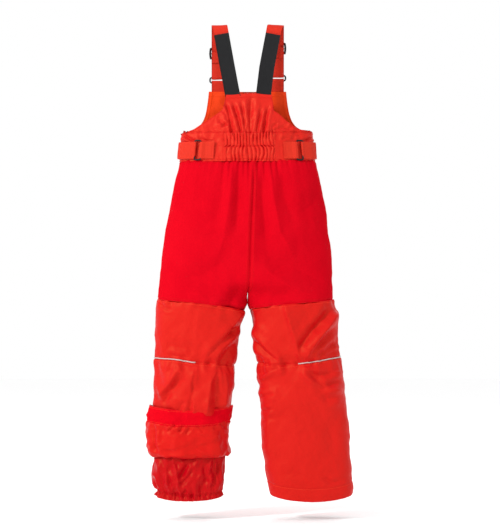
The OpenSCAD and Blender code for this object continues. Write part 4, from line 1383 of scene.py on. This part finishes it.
def build_waist_straps():
    for side, name in enumerate(SIDES):
        s = -1 if side == LEFT else 1
        rx = WAIST_RING_X[side]
        c = waist_point(rx, WAIST_Z, 0) + np.array([0, -4.0, 0])
        turn = RING_TURN[side]
        ring = tube(f"waist_ring_{name}_frame", ring_line(12.8, 38.4, 3.4, 96), 1.6, MATS["buckle_plastic"],
                    14, True)
        ring.rotation_euler = (RING_TILT, 0, turn)
        ring.location = c * MM
        bake(ring)
        piece(ring, "buckle_plastic", f"waist_ring_{name}", body="root")

        def local(lx, ly):
            return np.array([c[0] + lx * math.cos(turn) - ly * math.sin(turn),
                             c[1] + lx * math.sin(turn) + ly * math.cos(turn), WAIST_Z])

        # Anchor: from the yoke, over the ring's inner bar and back
        inner = [local(-s * (6.3 + 2.8 * math.cos(a)),
                       2.8 * math.sin(a)) for a in np.radians(np.linspace(80, 260, 12))]
        near = [waist_point(rx - s * k, WAIST_Z, 1.5) for k in (33, 25, 15)]
        far = [waist_point(rx - s * k, WAIST_Z, out) for k,
               out in ((9.8, 7.0), (16, 4.2), (22, 3.8), (33, 3.8))]
        a, p, n = waist_band(f"waist_anchor_{name}_web", near + inner + far, MATS["webbing"], 501 + side)
        piece(a, "webbing", f"waist_anchor_{name}", body="root")
        # Base layer: under the outer bar, round the side to the front
        angles = (219, 140) if side == LEFT else (324.5, 400)
        base, _, _ = waist_band(f"waist_strap_{name}_web", round_waist(*angles, 2.4, WAIST_Z, 90),
                                MATS["webbing"], 511 + side)
        piece(base, "webbing", f"waist_strap_{name}", body="root")
        # Free end: round the outer bar, then back over the base layer
        curl = [local(s * (6.3 - 2.5 * math.sin(q)),
                      -2.5 * math.cos(q)) for q in np.radians(np.linspace(140, 0, 12))]
        angles = (217, 187) if side == LEFT else (324, 353)
        flap, fp, fn = waist_band(f"waist_flap_{name}_web",
                                  curl + list(round_waist(*angles, 5.2, WAIST_Z,
                                                          50)), MATS["webbing"], 521 + side)
        piece(flap, "webbing", f"waist_flap_{name}", body=f"{name}_waist_flap")
        box = [surface_line(p[1:-1], n[1:-1], col=share * 119) for share in (0.93, 0.985)]
        sew(f"waist_stitching_{name}", "webbing", box, THREAD, 2.4, 1.7, 0.3, body="root")
        box = [surface_line(fp[1:-1], fn[1:-1], col=k) for k in (112.5, 116.5)]
        sew(f"flap_stitching_{name}", "webbing", box, THREAD, 2.4, 1.7, 0.3, body=f"{name}_waist_flap")


# ---------------------------------------------------------------- zipper

ZIP_TOP = -144.0
# The front's slope: height and distance at the bib's top edge and at the zipper's foot
BIB_EDGE_Z, BIB_EDGE_Y = -139, 20
ZIP_FOOT_Z, ZIP_FOOT_Y = -320, 52
ZIP_LEAN = math.atan((ZIP_FOOT_Y - BIB_EDGE_Y) / (BIB_EDGE_Z - ZIP_FOOT_Z))
TOOTH = 4.0


def on_zip(obj, below=0.0):
    """Puts an object, built round the top of the zipper with +Y outward, on the slope of the front."""
    y = float(BIB_EDGE_Y + (BIB_EDGE_Z - ZIP_TOP) * math.tan(ZIP_LEAN))
    obj.rotation_euler = (ZIP_LEAN, 0, 0)
    obj.location = (0, (y + below * math.sin(ZIP_LEAN)) * MM, (ZIP_TOP - below * math.cos(ZIP_LEAN)) * MM)
    return obj


def build_zipper():
    length = (ZIP_TOP - ZIP_FOOT_Z) / math.cos(ZIP_LEAN)
    tapes = []
    for s in (-1, 1):
        rows = np.linspace(0, -length, 160)
        p = np.array([[(s * 6.6 + j * 11.6, 2.4 + 0.12 * math.sin(z / 5 + s), z) for j in np.linspace(-0.5,
                                                                                                      0.5,
                                                                                                      11)]
                      for z in rows])
        n = grid_normals(p, [0, -50, -90])
        tapes.append(on_zip(cloth(f"tape_{s}", p, 1.0, MATS["zipper_tape"], normals=n)))
        chain = []
        count = int((length - 8) / TOOTH)
        for i in range(count):
            z = -6 - (i + (0 if s < 0 else 0.5)) * TOOTH
            chain.append(on_zip(bake(rounded(f"tooth_{s}_{i}", (3.2, 1.9, 1.9), (s * 1.35, 3.3, z), 0.45,
                                             MATS["zipper_teeth"]))))
        name = "left" if s < 0 else "right"
        teeth = join(f"zipper_teeth_{name}_row", chain)
        piece(teeth, "zipper_teeth", f"zipper_teeth_{name}", body="root")
    tape = join("zipper_tape_pair", tapes)
    piece(tape, "zipper_tape", "zipper_tapes", body="root")
    stops = [on_zip(bake(rounded("stop_low", (8, 2.6, 4), (0, 3.4, -length + 2.5), 0.8,
                                 MATS["zipper_teeth"])))]
    stops += [on_zip(bake(rounded(f"stop_{s}", (2.6, 2.2, 2.2), (s * 2.6, 3.3, -1.4), 0.6,
                                  MATS["zipper_teeth"]))) for s in (-1, 1)]
    o = join("zipper_stop_set", stops)
    piece(o, "zipper_teeth", "zipper_stops", body="root")
    # Slider: a shield-shaped plate with side flanges and a bridge for the pull
    outline = [(-3.4, 7), (3.4, 7), (4.9, 4.6), (4.6, 0), (3.4, -5), (2.6, -7), (-2.6, -7), (-3.4, -5),
               (-4.6, 0),
               (-4.9, 4.6)]
    parts = [plate("plate", outline, 4.7, 6.1, 0.45, MATS["zipper_metal"])]
    parts += [rounded(f"flange_{s}", (1.0, 3.0, 12), (s * 4.3, 3.4, 0), 0.35,
                      MATS["zipper_metal"]) for s in (-1, 1)]
    bridge = [(0, 5.4 + 3.6 * math.sin(math.pi * t), 5 - 10 * t) for t in np.linspace(0, 1, 15)]
    parts.append(tube("bridge", bridge, 1.15, MATS["zipper_metal"], 10))
    slider = join("zipper_slider_body", [on_zip(bake(q), 14.0) for q in parts])
    piece(slider, "zipper_metal", "zipper_slider", body="zipper_slider")
    loop = [(3.0 * math.sin(t), 6.9 + 0.9 * math.cos(t) * 0.2,
             -4.2 + 4.6 * math.cos(t)) for t in np.linspace(0, 2 * math.pi, 29)[:-1]]
    parts = [tube("pull_loop", loop, 0.75, MATS["zipper_pull_rubber"], 10, True)]
    outline = [(-2.4, -8), (2.4, -8), (3.8, -14), (4.2, -30), (2.8, -34), (-2.8, -34), (-4.2, -30),
               (-3.8, -14)]
    parts.append(plate("pull_grip", outline, 5.7, 7.9, 0.7, MATS["zipper_pull_rubber"]))
    parts += [rounded(f"grip_rib_{i}", (5.6, 2.8, 0.8), (0, 6.8, -18 - 2.4 * i), 0.35,
                      MATS["zipper_pull_rubber"]) for i in range(5)]
    pull = join("zipper_pull_tab", [on_zip(bake(q), 14.0) for q in parts])
    piece(pull, "zipper_pull_rubber", "zipper_pull", body="zipper_pull")


# ---------------------------------------------------------------- stage

FLOOR_Z = -985
FLOOR_HALF = 6000


def build_stage():
    corners = [(x * FLOOR_HALF, y * FLOOR_HALF, FLOOR_Z) for x, y in ((-1, -1), (1, -1), (1, 1), (-1, 1))]
    floor = mesh_object("floor", corners, [(0, 1, 2, 3)], [])
    mat, _, _ = nodes_of("floor", (0.97, 0.97, 0.97), 0.9, specular=0.1)
    floor.data.materials.append(mat)
    world = bpy.data.worlds.new("studio")
    bpy.context.scene.world = world
    world.use_nodes = True
    world.node_tree.nodes["Background"].inputs[0].default_value = (1, 1, 1, 1)
    world.node_tree.nodes["Background"].inputs[1].default_value = 1.0

    def lamp(name, place, size, power, target=(0, 0, -0.48)):
        data = bpy.data.lights.new(name, "AREA")
        data.shape = "DISK"
        data.size = size
        data.energy = power
        obj = bpy.data.objects.new(name, data)
        bpy.context.scene.collection.objects.link(obj)
        obj.location = place
        obj.rotation_euler = (Vector(target) - Vector(place)).to_track_quat("-Z", "Y").to_euler()

    lamp("key", (-2.1, -1.9, 1.0), 0.45, 68)
    lamp("fill", (1.8, -2.6, 0.2), 1.6, 5)
    lamp("rim", (0.8, 2.6, 1.2), 1.2, 24)


CAMERA_AT = (0.005, -5.0, -0.473)
VIEW_TALL = 1.05


def build_camera():
    data = bpy.data.cameras.new("camera")
    data.sensor_fit = "VERTICAL"
    data.sensor_height = 36
    data.lens = 36 * (-CAMERA_AT[1]) / VIEW_TALL
    data.clip_end = 50
    cam = bpy.data.objects.new("camera", data)
    bpy.context.scene.collection.objects.link(cam)
    cam.location = CAMERA_AT
    cam.rotation_euler = (math.pi / 2, 0, 0)
    bpy.context.scene.camera = cam
    bpy.context.scene.view_settings.view_transform = "Standard"


build_camera()
build_front()
build_back()
build_seat()
build_legs()
build_gaiters()
build_cuff()
build_straps()
build_hardware()
build_waist_straps()
build_zipper()
build_stage()
